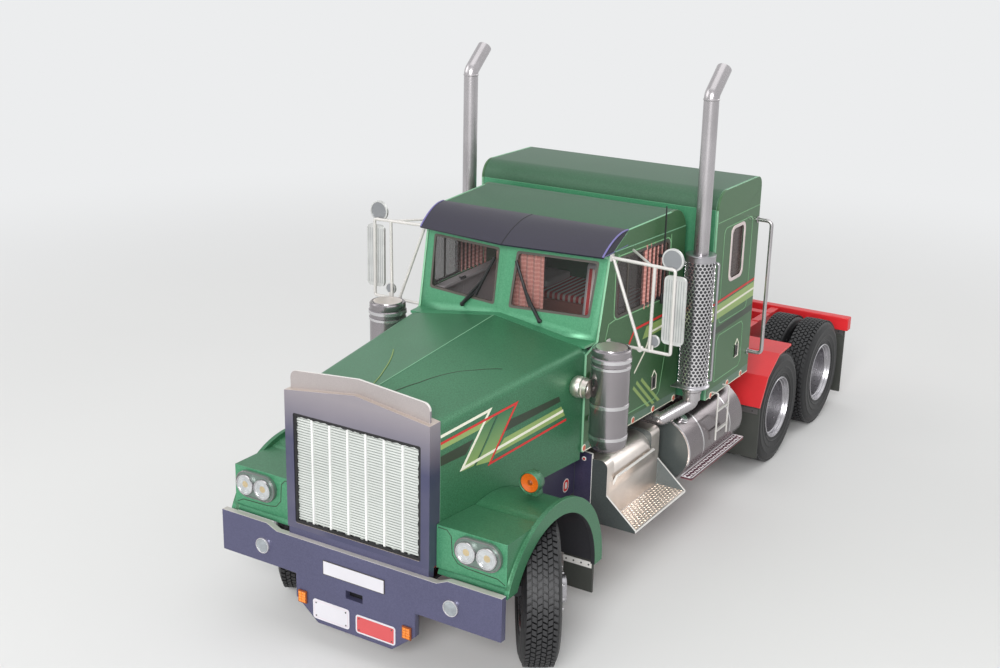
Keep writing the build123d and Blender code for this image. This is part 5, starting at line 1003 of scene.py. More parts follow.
for steered, ending, nodes, body, centre, outward in wheel_places():
    def rim(mesh):
        """Silver rim: raised middle in front, deep dish behind, with nuts and round hand holes."""
        for profile in FRONT_RIM if steered else REAR_RIM:
            add_lathe(mesh, profile, centre, outward, WHEEL_SEGMENTS)
        circle, foot, height = FRONT_NUTS if steered else REAR_NUTS
        for spot in ring(centre, outward, circle, WHEEL_NUTS):
            add_lathe(mesh, [(0.6, foot), (0.6, foot + height * 0.6), (0.36, foot + height * 0.7),
                             (0.3, foot + height), (0, foot + height)], spot, outward, 6, 1)
        circle, radius, along = FRONT_HOLES if steered else REAR_HOLES
        for spot in ring(centre, outward, circle, WHEEL_NUTS, 0.5):
            add_lathe(mesh, [(0, along), (radius, along), (radius + 0.16, along - 0.08)], spot, outward, 20, 2)
    new_piece(f"rim_{ending}", rim, [RIM_SILVER, FOIL_BRIGHT, BLACK], "silver_card", body, nodes[1:], 25)


# ------------------------------------------------------------- cab

SCREEN_HALF = 32.4
SCREEN_VEE = 4.2
PANE = ((1.6, 86.0), (29.98, 82.6), (30.58, 104.4), (1.6, 104.4))       # x, z
PANE_VIEW = ((2.6, 86.6), (29.4, 86.9), (30.1, 104.1), (3.1, 104.1))    # what the sills leave open
WIPERS = (((-14.9, 84.5), (-9.9, 88.4), (-4.2, 101.1)),                 # pivot, blade ends: x, z
          ((13.7, 84.1), (10.1, 88.0), (3.6, 101.2)))

screen_corner = taper((80.4, 78.7), (105.1, 83.9))      # behind the nose, by the height


def screen_y(x, z):
    """Where the vee-shaped windscreen lies behind the nose."""
    return screen_corner(z) - SCREEN_VEE * (1 - abs(x) / SCREEN_HALF)


def add_on_screen(mesh, side, outline, lift, depth, index=0):
    """An (x, z) shape on the windscreen, lying lift off it, drawn out rearward by depth."""
    add_prism(mesh, [at(side * x, screen_y(x, z) - lift, z) for x, z in outline], REARWARD * depth * MM, index)


@pair([GLASS], "clear_film", replaces=("windscreen",))
def screen_panes(mesh, side):
    """Clear panes."""
    add_on_screen(mesh, side, PANE, -0.35, 0.2)


@pair([FRAME_GREY, GREEN_LIT_FRONT], "green_card")
def screen_frames(mesh, side):
    """Dark rounded frames of the panes, in a surround of lighter green that is painted light."""
    view = soft_corners(PANE_VIEW, 1.0)
    for quad in ring_outline([tuple(spot) for spot in view], 0.75):
        add_on_screen(mesh, side, quad, 0.08, 0.5)
    rounding = len(view) // len(PANE_VIEW)
    for k, corner in enumerate(PANE_VIEW):
        j = (k + 1) % len(PANE_VIEW)
        for outline in ((PANE[k], PANE[j], PANE_VIEW[j], corner), [corner, *view[k * rounding:(k + 1) * rounding]]):
            add_on_screen(mesh, side, outline, 0.02, 0.4, 1)


@piece([BLACK], "dark_card")
def wipers(mesh):
    """A wiper on each pane: blade, its spine, arm and pivot."""
    out = FORWARD * MM
    for spots in WIPERS:
        foot, start, end = (at(x, screen_y(x, z) - 0.7, z) for x, z in spots)
        middle = start.lerp(end, 0.45)
        add_tube(mesh, [start, end], 0.5, 10)
        add_tube(mesh, [start - out * 0.35, end - out * 0.35], 0.16, 8)
        add_tube(mesh, [foot, foot.lerp(middle, 0.5) + out * 0.35, middle + out * 0.1], [0.6, 0.5, 0.4], 10)
        add_tube(mesh, [foot, start.lerp(end, 0.15) + out * 0.1], [0.5, 0.36], 10)
        add_lathe(mesh, [(0.72, -0.5), (0.72, 0.2), (0.4, 0.45), (0, 0.5)], foot, FORWARD + WORLD_UP * 0.2, 16)


SKIRT_Z = (46.5, 49.4)
CAB_DOTS = ((72.9, 47.7), (102.7, 47.6), (115.8, 47.5), (129.9, 47.2))
SLEEPER_DOTS = ((139.5, 47.2), (153.8, 47.5), (165.9, 47.5))
SLEEPER_DOOR = ((141.9, 71.9), (166.6, 105.2))
ROOF_CREASE = ((86.5, 107.0), (131.2, 107.0))
DOOR_PANE = ((88.0, 85.5), (121.0, 104.5))
SLEEPER_PANE = ((148.7, 86.0), (159.4, 103.8))
PANE_DEPTH = 0.25
CAB_FRAMES = (                          # corners, rounding, width, lift, card
    ((87.8, 85.3), (121.2, 104.7), 2.2, 0.9, 0.12, 0),
    ((87.2, 84.7), (121.8, 105.3), 2.6, 0.35, 0.06, 2),
)
SLEEPER_FRAME = ((147.9, 85.2), (160.2, 104.6), 2.6, 1.1, 0.22, 1)
QUARTER_POST = ((95.0, 85.6), (95.0, 104.4))
DOT_RIM = ((1.2, -0.02), (1.2, 0.1), (0.9, 0.14))       # radius, lift
DOT_GLASS = ((0.92, 0.06), (0.9, 0.18), (0.5, 0.26), (0, 0.28))


def handle(behind, low):
    """Prints of a small recessed handle: pale pointed outline, silver field and dark grip."""
    outline = [(behind - 1.5, low), (behind - 1.5, low + 4.6), (behind, low + 6.4), (behind + 1.5, low + 4.6),
               (behind + 1.5, low)]
    return ((outline + outline[:2], 0.3, 0, 0.2, 0.14),
            (rectangle((behind - 1.4, low + 0.1), (behind + 1.4, low + 4.5)), 0, 8, 0.12, 0.08),
            (rectangle((behind - 0.55, low + 0.7), (behind + 0.55, low + 3.8)), 0, 5, 0.24, 0.1))


def skirt(start, end):
    """Prints of the strip along a wall's foot, with a pale line along its lower edge that is a painted highlight on the
    lip there.
    """
    low, high = SKIRT_Z
    return ((rectangle((start, low), (end, high)), 0, 6, 0.05, 0.04),
            (((start, low + 0.16), (end, low + 0.16)), 0.3, 0, 0.08, 0.05))


CAB_PRINTS = (                          # stripes, door lines, handle and skirt
    (((106.1, 74.2), (108.5, 78.0), (131.4, 78.7), (131.4, 74.6)), 0, 1, 0.04, 0.03),
    (((101.9, 63.9), (107.7, 69.2), (111.9, 75.4), (131.4, 76.2)), 0.75, 0, 0.06, 0.04),
    (((97.5, 74.8), (100.8, 78.9), (131.4, 79.7)), 0.8, 3, 0.08, 0.05),
    (((101.8, 59.0), (113.4, 48.8)), 1.1, 1, 0.04, 0.03),
    (((103.7, 60.3), (116.8, 48.6)), 1.1, 1, 0.04, 0.03),
    (((106.9, 60.4), (120.4, 48.6)), 1.1, 1, 0.04, 0.03),
    (((88.6, 105.9), (88.6, 85.2), (84.4, 84.6), (82.9, 80.2), (82.9, 52.4), (84.4, 50.9)), 0.28, 4, 0.05, 0.04),
    (((84.4, 50.9), (116.3, 50.9), (119.2, 52.9), (121.8, 64.9), (121.8, 105.9)), 0.28, 4, 0.05, 0.04),
    *handle(115.2, 54.8), *skirt(73.0, 131.2),
)
SLEEPER_PRINTS = (                      # stripes, locker, seam, handle and skirt
    (((136.2, 79.0), (172.4, 80.2), (172.4, 74.9), (136.2, 74.0)), 0, 1, 0.04, 0.03),
    (((136.2, 71.0), (172.4, 72.0), (172.4, 69.6), (136.2, 68.7)), 0, 2, 0.04, 0.03),
    (((136.2, 76.5), (172.4, 77.7)), 0.8, 0, 0.06, 0.04),
    (((136.2, 80.0), (172.4, 81.2)), 0.8, 3, 0.08, 0.05),
    (((141.6, 51.4), (141.6, 66.0), (143.4, 67.8), (163.0, 67.8), (164.6, 66.2), (164.6, 53.2), (162.8, 51.4),
      (141.6, 51.4)), 0.26, 4, 0.05, 0.04),
    (((136.0, 107.9), (172.4, 107.9)), 0.22, 4, 0.04, 0.03),
    *handle(160.2, 55.6), *skirt(136.0, 172.4),
)


def add_dots(mesh, wall, side, dots):
    """Red reflectors with pale rims."""
    for behind, z in dots:
        spot = at(side * wall(behind), behind, z)
        add_lathe(mesh, DOT_RIM, spot, LEFT * side, 24, 0)
        add_lathe(mesh, DOT_GLASS, spot, LEFT * side, 24, 7)


@pair([WHITE, GREEN_LIGHT, GREEN_DARK, RED_PRINT, DOOR_LINE, BLACK, SKIRT, SKIRT_DOT, FOIL_DULL], "green_card",
      smooth=40)
def side_print(mesh, side):
    """Everything printed on the cab's and the sleeper's sides."""
    add_prints(mesh, cab_wall, side, CAB_PRINTS)
    add_dots(mesh, cab_wall, side, CAB_DOTS)
    add_prints(mesh, sleeper_wall, side, SLEEPER_PRINTS)
    add_dots(mesh, sleeper_wall, side, SLEEPER_DOTS)
    for quad in ring_outline(round_outline(*SLEEPER_DOOR, 2.2), 0.26):
        add_print(mesh, sleeper_wall, side, quad, 4, 0.05, 0.04)


@pair([EDGE_GREEN], "green_card")
def roof_crease(mesh, side):
    """The pale fold between the cab's side and roof."""
    add_print(mesh, cab_wall, side, stroke(ROOF_CREASE, 0.3), 0, 0.07, 0.06)


@pair([SIDE_GLASS], "clear_film", replaces=("side_windows",))
def side_panes(mesh, side):
    """The door's and the sleeper's glass."""
    for wall, corners in ((cab_wall, DOOR_PANE), (sleeper_wall, SLEEPER_PANE)):
        add_print(mesh, wall, side, round_outline(*corners, 2.0), 0, -PANE_DEPTH, PANE_DEPTH)


@pair([FRAME_GREY, FRAME_PALE, DOOR_LINE], "green_card", bevel=0.08)
def window_frames(mesh, side):
    """Raised frames round the side windows, and the quarter light's post."""
    for frame in CAB_FRAMES:
        add_frame(mesh, cab_wall, side, *frame)
    add_print(mesh, cab_wall, side, stroke(QUARTER_POST, 0.7), 0, 0.02, 0.5)
    add_frame(mesh, sleeper_wall, side, *SLEEPER_FRAME)


PLEATS = 7
PLEAT_DEPTH = 0.45
PLEAT_STEPS = 84
SIDE_CURTAINS = (                       # ends as (x, behind the nose), and z from and to
    ((34.6, 104.0), (35.0, 122.5), 84.5, 105.4), ((34.4, 130.0), (22.0, 130.0), 55.0, 104.0),
    ((44.3, 147.4), (44.3, 160.8), 85.0, 105.0),
)
SCREEN_CURTAIN = ((-6.0, 82.6), (11.0, 83.2), 82.5, 104.8)


def add_curtain(mesh, start, end, low, high):
    """Pleats between two (x, behind the nose) places."""
    start, end = Vector(start), Vector(end)
    along = (end - start).normalized()
    columns = []
    for i in range(PLEAT_STEPS + 1):
        share = i / PLEAT_STEPS
        swing = PLEAT_DEPTH * math.sin(2 * math.pi * PLEATS * share)
        spot = start + (end - start) * share + Vector((-along.y, along.x)) * swing
        columns.append(row(mesh, [at(*spot, z) for z in (low, (low + high) / 2, high)]))
    join_rows(mesh, columns, closed=False)


@pair([CURTAIN], "striped_card", smooth=60)
def curtains(mesh, side):
    """Curtains behind the side windows, across the cab's back and at the windscreen."""
    for *ends, low, high in SIDE_CURTAINS:
        add_curtain(mesh, *((side * x, behind) for x, behind in ends), low, high)
    if side > 0:
        add_curtain(mesh, *SCREEN_CURTAIN)


VISOR_FRONT = (79.5, 106.6)             # at the ends, behind the nose and z
VISOR_REAR = (93.9, 112.5)
VISOR_FOOT = (93.9, 107.7)              # lowest corner of the cheeks
VISOR_BOW = 1.7
VISOR_STEPS = [i / 10 for i in range(11)]


def visor_place(share, t):
    """A place on the visor, behind the nose and z: share of its half-width, t from its front edge to the roof."""
    front = VISOR_FRONT[0] - SCREEN_VEE * (1 - share)
    return (front + (VISOR_REAR[0] - front) * t,
            VISOR_FRONT[1] + (VISOR_REAR[1] - VISOR_FRONT[1]) * t + VISOR_BOW * 4 * t * (1 - t))


@pair([VISOR_BLUE, EDGE_VIOLET], "blue_grey_card", replaces=("sun_visor",), smooth=40)
def visor(mesh, side):
    """Folded sun visor, bowed upward, with end cheeks and pale cut edges."""
    fronts = []
    for layer in (0, 1):
        rows = []
        for share in (0, 0.5, 1):
            spots = []
            for t in VISOR_STEPS:
                behind, z = visor_place(share, t)
                half = cab_wall(VISOR_FRONT[0] + (VISOR_REAR[0] - VISOR_FRONT[0]) * t)
                spots.append(at(side * half * share, behind + 0.25 * layer, z - 0.5 * layer))
            rows.append(row(mesh, spots))
        join_rows(mesh, rows, closed=False)
        fronts.append([spots[0] for spots in rows])
    join_rows(mesh, fronts, closed=False)
    curve = [visor_place(1, t) for t in VISOR_STEPS]
    add_prints(mesh, cab_wall, side, ((curve + [VISOR_FOOT], 0, 0, -0.1, 0.5), (curve, 0.24, 1, 0.02, 0.5),
                                      ((curve[0], VISOR_FOOT), 0.2, 1, 0.02, 0.5)))


@piece([BLACK], "blue_grey_card")
def visor_crease(mesh):
    """The crease in the visor's middle."""
    add_tube(mesh, [at(0, *visor_place(0, t)) + WORLD_UP * 0.02 * MM for t in VISOR_STEPS], 0.12, 6)


for node, bevel, card in (              # walls and roofs with softened folds: fronts in the lighter green of painted light, sides and roofs in the deeper greens of painted shade
        ("cab_front", 0.3, GREEN_LIT_FRONT), ("cab_side_left", 0.14, GREEN_SHADED_SIDE), ("cab_side_right", 0.14, GREEN_SHADED_SIDE),
        ("cab_roof", 0.2, GREEN_SHADED_ROOF), ("cab_back", 0.14, GREEN), ("sleeper_boot", 0.16, GREEN),
        ("sleeper_side_left", 0.16, GREEN_SHADED_SIDE), ("sleeper_side_right", 0.16, GREEN_SHADED_SIDE),
        ("sleeper_roof", 0.16, GREEN_SHADED_ROOF), ("sleeper_front", 0.14, GREEN_LIT_FRONT), ("sleeper_back", 0.16, GREEN)):
    dressed_copy(f"{node}_shell", node, [card, EDGE_GREEN], bevel=bevel)


SEAT_X = 16.0
CUSHION_RIBS = 5
CUSHION_PITCH = 2.7
BACK_RIBS = 3
BACK_PITCH = 4.1
DIALS = 7
DIAL = ((1.4, 0), (1.4, 0.3), (1.15, 0.32), (1.1, 0.1), (0, 0.12))
SEAT_BACK = ((112.3, 68.6), (115.3, 91.5), (114.5, 92.0), (111.4, 68.6))
LINING_INSET = 1.3                      # from the cab's wall to the lining's inner face
LINING_DEPTH = 0.3                      # its thickness
LININGS_Z = ((66.0, 85.2), (104.8, 106.4))      # below and above the window
LININGS_Y = ((84.0, 106.0), (106.0, 129.4))
LEDGE = ((88.0, 0), (121.0, 3.2))       # behind the nose, inward
LEDGE_Z = 84.2
GRIP_Y = (98.5, 101.5)
GRIP_Z = 85.4
VENT = ((-26, 84.4, 69.5), (-10, 84.8, 75.5))
VENT_SLAT = ((-22, 84.7, 73.6), (-14, 85.1, 74.4))
MATTRESS = ((-43.6, 146.6, 68.0), (43.6, 171.2, 70.6))
PILLOW = ((-42.6, 151.0, 70.4), (-26.0, 169.0, 73.0))

dressed_copy("seat_blocks", "seats", [SEAT_GREY], bevel=0.9, edge_width=0)


@pair([BENCH, SEAT_PALE], "grey_card", bevel=0.4)
def seat_cushions(mesh, side):
    """Ribbed cushions, striped on the driver's side."""
    index = 0 if side > 0 else 1
    for k in range(CUSHION_RIBS):
        low_x = side * SEAT_X - 6.6 + k * CUSHION_PITCH
        add_block(mesh, (low_x, 97.4, 66.0), (low_x + 2.5, 111.5, 67.6), index)
    for k in range(BACK_RIBS):
        add_section(mesh, SEAT_BACK, side * SEAT_X - 6.0 + k * BACK_PITCH, BACK_PITCH - 0.3, index)


dressed_copy("dash_body", "dashboard", [DARK], bevel=0.25, edge_width=0)


@pair([LINING, BLACK], "grey_card", bevel=0.15)
def cab_linings(mesh, side):
    """Linings inside the doors, with a ledge and a dark handle."""
    for low, high in LININGS_Z:
        for start, end in LININGS_Y:
            add_print(mesh, cab_wall, side, rectangle((start, low), (end, high)), 0, LINING_DEPTH - LINING_INSET,
                      LINING_DEPTH)
    ledge = [at(side * (cab_wall(behind) - LINING_INSET - inward), behind, LEDGE_Z)
             for behind, inward in rectangle(*LEDGE)]
    add_prism(mesh, ledge, WORLD_UP * 1.1 * MM)
    middle = sum(GRIP_Y) / 2
    wall = cab_wall(middle)
    grip = [at(side * (wall - 4.6), behind, GRIP_Z) for behind in GRIP_Y]
    add_tube(mesh, [at(side * (wall - 3.0), middle, GRIP_Z - 0.2), grip[0].lerp(grip[1], 0.5)], 0.35, 10, 1)
    add_tube(mesh, grip, 0.5, 10, 1)


@piece([SEAT_PALE, FRAME_GREY], "dark_card", bevel=0.08)
def dials(mesh):
    """Round dials and a vent on the dashboard."""
    for i in range(DIALS):
        add_lathe(mesh, DIAL, at(4.0 + i * 3.4, 84.5, 75.4 if i % 2 else 74.6), REARWARD, 20)
    add_block(mesh, *VENT, 1)
    add_block(mesh, *VENT_SLAT, 0)


@piece([BENCH, SEAT_PALE], "striped_card", bevel=0.8)
def bedding(mesh):
    """Striped mattress and a pale pillow."""
    add_block(mesh, *MATTRESS, 0)
    add_block(mesh, *PILLOW, 1)


dressed_copy("bunk_base", "bunk", [SALMON], bevel=0.3, edge_width=0)


# ------------------------------------------------------------- side gear

CLEANER = (41.0, 72.4)                  # x, behind the nose
CLEANER_SECTION = ((0, 82.1), (4.7, 82.1), (4.8, 81.8), (5.5, 81.9), (5.9, 81.5), (5.95, 80.4), (5.8, 79.6),
                   (6.2, 79.3), (6.25, 78.3), (5.85, 78.1), (5.85, 77.1), (6.1, 76.9), (6.1, 76.1), (5.85, 75.9),
                   (5.85, 65.1), (6.0, 65.0), (6.0, 63.9), (5.85, 63.8), (5.85, 55.0), (6.0, 54.9), (6.0, 53.9),
                   (5.85, 53.8), (5.8, 52.2), (5.4, 50.9), (4.2, 49.7), (3.4, 49.45), (0, 49.45))
INTAKE = (67.0, 69.6)                   # behind the nose, z
CLEANER_BRACKETS = (57.0, 71.0)
ELBOW_PROFILE = ((2.0, 31.5), (2.7, 31.7), (3.2, 32.4), (3.35, 33.4), (3.2, 34.3), (3.0, 34.7), (3.15, 35.0),
                 (3.15, 35.4), (2.9, 35.6), (2.9, 37.0))    # (radius, x) from the hood out to the can


@pair([FOIL_CAN, FOIL_PLATE, FOIL_BRIGHT], "silver_card", replaces=("air_cleaners",), smooth=35)
def air_cleaner_cans(mesh, side):
    """Turned air cleaners with beads and bright bands."""
    bands = [1 if radius < 4.7 and z > 81 else 2 if radius >= 6.0 or 53.8 < z < 55 else 0
             for radius, z in CLEANER_SECTION[:-1]]
    add_lathe(mesh, CLEANER_SECTION, at(side * CLEANER[0], CLEANER[1], 0), WORLD_UP, 72, bands)


@pair([FOIL_PLATE], "silver_card", smooth=50)
def intake_elbows(mesh, side):
    """Smooth turned elbows from the hood to the cans."""
    add_lathe(mesh, ELBOW_PROFILE, at(0, *INTAKE), LEFT * side, 44)


@pair([FOIL], "silver_card", bevel=0.08)
def cleaner_brackets(mesh, side):
    """Brackets between the cans and the cab."""
    for z in CLEANER_BRACKETS:
        add_block(mesh, (side * 33.2, 74.0, z - 0.9), (side * 36.6, 75.6, z + 0.9))


STACK = (44.6, 126.0)                   # x, behind the nose
STACK_RADIUS = 2.45
STACK_BEND_Z = 150.6
STACK_TIP = (8.4, 158.0)                # lean back, z
LEG_TURN = (37.6, 118.8, 43.5)
LEG_END_X = 8.0
LEG_RADIUS = 2.3
FOOT_PIPE = (2.9, 49.8, 57.0)           # radius, z from and to
FOOT_BEADS_Z = (52.6, 54.0)
FOOT_BEAD = ((2.9, -0.35), (3.15, -0.25), (3.15, 0.25), (2.9, 0.35))
STACK_BEAD = ((2.45, 149.0), (2.6, 149.15), (2.6, 149.5), (2.45, 149.65))
SHIELD_RADIUS = 4.9
SHIELD_CARD = 0.45
SHIELD_Z = (54.6, 99.8)
SHIELD_PLAIN = (1.2, 2.3)               # unpierced bands at the foot and the collar
SHIELD_FOOT = 5.7
SHIELD_SHADE_RADIUS = 4.1                     # radius of the dark grey sheet of painted shade inside the shields
SHIELD_TAB_WAY = (0.72, -0.69)          # inward and forward
SHIELD_TAB = ((5.0, 2.6), (7.8, 0), (5.0, -2.6))        # along that way and square to it
SHIELD_BRACKETS_Z = (64.0, 94.0)
HOLE_COLUMNS = 22
HOLE_ROWS = 38
HOLE_SHARE = (0.76, 0.96)               # of a cell, across and up
CELL = ((1, 0), (1, 1), (0, 1), (-1, 1), (-1, 0), (-1, -1), (0, -1), (1, -1))
GRAB = (50.4, 127.5)                    # x, behind the nose
GRAB_Z = (57.0, 97.0)


def on_stack(side, z=0.0):
    """A point of the stack's axis."""
    return at(side * STACK[0], STACK[1], z)


@pair([FOIL_PIPE, BLACK], "silver_card", replaces=("exhaust_stacks",), smooth=25)
def stacks(mesh, side):
    """Smooth stacks with a bent open tip, a foot pipe and a mitred leg under the cab."""
    bend = on_stack(side, STACK_BEND_Z)
    tip = at(side * STACK[0], STACK[1] + STACK_TIP[0], STACK_TIP[1])
    add_tube(mesh, rounded_path([on_stack(side, 50.0), bend, tip], 3.0, 8), STACK_RADIUS, 32)
    inward = (bend - tip).normalized() * 0.8 * MM
    add_tube(mesh, [tip - inward * 0.06, tip + inward * 0.5], STACK_RADIUS - 0.35, 32, 1)
    radius, low, high = FOOT_PIPE
    add_tube(mesh, [on_stack(side, high), on_stack(side, low)], radius, 32)
    leg = [on_stack(side, 50.8), on_stack(side, 48.6)] + [at(side * x, *LEG_TURN[1:]) for x in (LEG_TURN[0], LEG_END_X)]
    add_tube(mesh, rounded_path(leg, 1.2, 3), LEG_RADIUS, 28)
    for z in FOOT_BEADS_Z:
        add_lathe(mesh, FOOT_BEAD, on_stack(side, z), WORLD_UP, 40)
    add_lathe(mesh, STACK_BEAD, on_stack(side), WORLD_UP, 40)


@pair([FOIL_BRIGHT], "silver_card", replaces=("heat_shields",), smooth=28)
def heat_shield_sheets(mesh, side):
    """Pierced sheet: each cell is a ring of faces from its edge to a round hole, and the hole's wall."""
    low, high = SHIELD_Z[0] + SHIELD_PLAIN[0], SHIELD_Z[1] - SHIELD_PLAIN[1]
    across, up = math.pi / HOLE_COLUMNS, (high - low) / HOLE_ROWS / 2      # half a cell
    hole = [(HOLE_SHARE[0] * math.cos(angle), HOLE_SHARE[1] * math.sin(angle)) for angle in angles(8)]
    inner = SHIELD_RADIUS - SHIELD_CARD
    for line in range(HOLE_ROWS):
        for column in range(HOLE_COLUMNS):
            turn, z = (2 * column + line % 2) * across, low + (2 * line + 1) * up
            rings = []
            for outline, radius in ((CELL, SHIELD_RADIUS), (hole, SHIELD_RADIUS), (hole, inner), (CELL, inner)):
                places = [(turn + u * across, z + v * up) for u, v in outline]
                rings.append(row(mesh, [on_stack(side) + Vector((radius * math.cos(angle), radius * math.sin(angle),
                                                                 height)) * MM for angle, height in places]))
            join_rows(mesh, rings)


@pair([HOLE_SHADE_GREY], "silver_card", smooth=40)
def heat_shield_hole_shade(mesh, side):
    """A dark grey sheet inside the shields, painted shade that shows through the holes."""
    lining = [(SHIELD_SHADE_RADIUS, SHIELD_Z[0] + 1.1), (SHIELD_SHADE_RADIUS, SHIELD_Z[1] - 0.6)]
    add_lathe(mesh, lining, on_stack(side), WORLD_UP, 44)


@pair([FOIL], "silver_card", smooth=28, bevel=0.08)
def heat_shield_trim(mesh, side):
    """The shields' flared foot, collar, tab and brackets."""
    low, high = SHIELD_Z
    plain_low, plain_high = low + SHIELD_PLAIN[0], high - SHIELD_PLAIN[1]
    foot = ((2.6, low + 0.1), (SHIELD_FOOT, low + 0.1), (SHIELD_FOOT, low + 0.5), (4.95, low + 1.0),
            (4.9, plain_low), (4.45, plain_low))
    collar = ((4.45, plain_high), (4.9, plain_high), (4.9, high - 0.5), (5.0, high - 0.4), (5.0, high - 0.1),
              (4.8, high), (2.55, high))
    for section in (foot, collar):
        add_lathe(mesh, section, on_stack(side), WORLD_UP, 56)
    toward = Vector((-side * SHIELD_TAB_WAY[0], SHIELD_TAB_WAY[1], 0))
    across = Vector((-toward.y, toward.x, 0))
    add_prism(mesh, [on_stack(side, low + 0.12) + (toward * reach + across * aside) * MM
                     for reach, aside in SHIELD_TAB], WORLD_UP * 0.3 * MM)
    x = side * STACK[0]
    for z in SHIELD_BRACKETS_Z:
        add_block(mesh, (x - 1.0, STACK[1] + 4.6, z), (x + 1.0, 135.6, z + 2.0))


@pair([FOIL], "silver_card", smooth=40)
def shield_grabs(mesh, side):
    """Grab rails beside the heat shields."""
    path = [at(side * x, GRAB[1], z) for x, z in rectangle((GRAB[0], GRAB_Z[0]), (GRAB[0] - 1.4, GRAB_Z[1]))]
    add_tube(mesh, rounded_path([path[1], path[0], path[3], path[2]], 0.9), 0.42)


MIRROR_Y = 84.0                         # middle of the arms' tubes
MIRROR_FRONT = 84.42                    # face of the plates behind them
MIRROR_PLATE = ((51.2, 82.0), (58.2, 103.2))
MIRROR_POST_X = 54.7
MIRROR_STAY_X = 48.1
MIRROR_BAR_Z = (105.8, 105.2)           # at the cab and at the post
MIRROR_FOOT = (44.8, 79.0)
MIRROR_DISCS = ((53.4, 107.9, 3.45), (48.7, 82.0, 1.9))     # x, z, radius
MIRROR_KNOB = ((0, -0.7), (0.9, -0.65), (0.9, 0.65), (0, 0.7))
MIRROR_RIBS = 8
MIRROR_RIB_PITCH = 0.78
MIRROR_BRACE = ((35.0, 96.0, 105.8), (46.6, 84.0, 105.6))


@pair([ARM_SILVER], "silver_card", replaces=("mirrors",), bevel=0.06)
def mirror_arms(mesh, side):
    """Thin tube arms that carry the mirrors."""
    wall = cab_wall(MIRROR_Y) + 0.1
    foot_x, foot_z = MIRROR_FOOT
    high, end = MIRROR_BAR_Z
    (disc_x, disc_z, disc_radius), (spot_x, spot_z, spot_radius) = MIRROR_DISCS

    def spot(x, z):
        return at(side * x, MIRROR_Y, z)

    hoop = [spot(wall, high), spot(MIRROR_POST_X, end), spot(MIRROR_POST_X, foot_z), spot(wall, foot_z)]
    for path, radius, segments in (
            (rounded_path(hoop, 0.8), 0.52, 14),
            ([spot(wall + 0.7, high), spot(foot_x, foot_z)], 0.5, 14),
            ([spot(MIRROR_STAY_X, high - 0.4), spot(MIRROR_STAY_X - 0.4, foot_z)], 0.52, 14),
            ([at(side * x, behind, z) for x, behind, z in MIRROR_BRACE], 0.4, 12),
            ([spot(disc_x, end), spot(disc_x, disc_z - disc_radius * 0.6)], 0.4, 12),
            ([spot(spot_x, foot_z), spot(spot_x, spot_z - spot_radius * 0.6)], 0.35, 12)):
        add_tube(mesh, path, radius, segments)
    for z in (high, foot_z):
        add_block(mesh, (side * wall, MIRROR_Y - 1.0, z - 1.0), (side * (wall + 0.5), MIRROR_Y + 1.0, z + 1.0))
    add_lathe(mesh, MIRROR_KNOB, spot(*MIRROR_FOOT), REARWARD, 18)


@pair([MIRROR_CARD, MIRROR_FACE, DISC_GREY], "silver_card", bevel=0.06)
def mirror_heads(mesh, side):
    """A tall ribbed mirror, a round wide one and a spot mirror."""
    def outline(inset, radius, low=MIRROR_PLATE[0], high=MIRROR_PLATE[1]):
        return mirrored(side, round_outline(low, high, radius, inset=inset))

    add_front_prism(mesh, outline(0, 1.6), MIRROR_FRONT, 0.86)
    for quad in ring_outline(outline(0, 1.6), 0.35):
        add_front_prism(mesh, quad, MIRROR_FRONT - 0.1, 0.12)
    (low_x, low_z), (_, high_z) = MIRROR_PLATE
    for k in range(MIRROR_RIBS):
        rib = low_x + 0.75 + k * MIRROR_RIB_PITCH
        add_front_prism(mesh, outline(0, 0.05, (rib, low_z + 1.2), (rib + 0.16, high_z - 1.2)), MIRROR_FRONT - 0.04,
                        0.06, 2)
    add_front_prism(mesh, outline(0.5, 1.2), MIRROR_FRONT + 0.84, 0.06, 1)
    for x, z, r in MIRROR_DISCS:
        centre = at(side * x, MIRROR_FRONT + 0.45, z)
        add_lathe(mesh, [(0, 0.36), (r * 0.84, 0.3), (r * 0.86, 0.42)], centre, FORWARD, 40, 2)
        add_lathe(mesh, [(r * 0.86, 0.42), (r, 0.4), (r, -0.4), (r - 0.2, -0.46), (0, -0.42)], centre, FORWARD, 40)


ANTENNA = (37.2, 113.8)                 # x, behind the nose
ANTENNA_Z = (85.4, 112.0, 116.6)        # foot, bend and tip
ANTENNA_RADII = (0.32, 0.26, 0.2)
ANTENNA_CLIPS_Z = (86.0, 100.0)
ANTENNA_FOOT = ((0.5, 84.8), (0.6, 85.0), (0.6, 87.6), (0.3, 88.2))


@piece([BLACK], "dark_card")
def antenna(mesh):
    """Black whip beside the left cab window."""
    x, behind = ANTENNA
    foot, bend, tip = ANTENNA_Z
    add_tube(mesh, [at(x, behind, foot), at(x, behind, bend), at(x, behind - 0.1, tip)], ANTENNA_RADII, 10)
    for z in ANTENNA_CLIPS_Z:
        add_block(mesh, (35.4, behind - 0.5, z), (x, behind + 0.5, z + 0.8))
    add_lathe(mesh, ANTENNA_FOOT, at(x, behind, 0), WORLD_UP, 14)


STEP_Y = (79.4, 116.0)
STEP_BOX_X = 38.4
STEP_OUT_X = 49.0
STEP_TREAD_Z = 21.5
STEP_COVER = ((27.0, 24.4), (33.0, 22.6), (33.0, 43.4), (27.0, 44.2))   # x, z of the plate in front
STEP_DOT = (30.2, 41.6, 0.75)           # x, z, radius
SIDE_PLATE_X = 26.8
SIDE_MARK = ((71.6, 31.2), (75.2, 35.6))        # oval reflector on the side plate, behind the nose and z


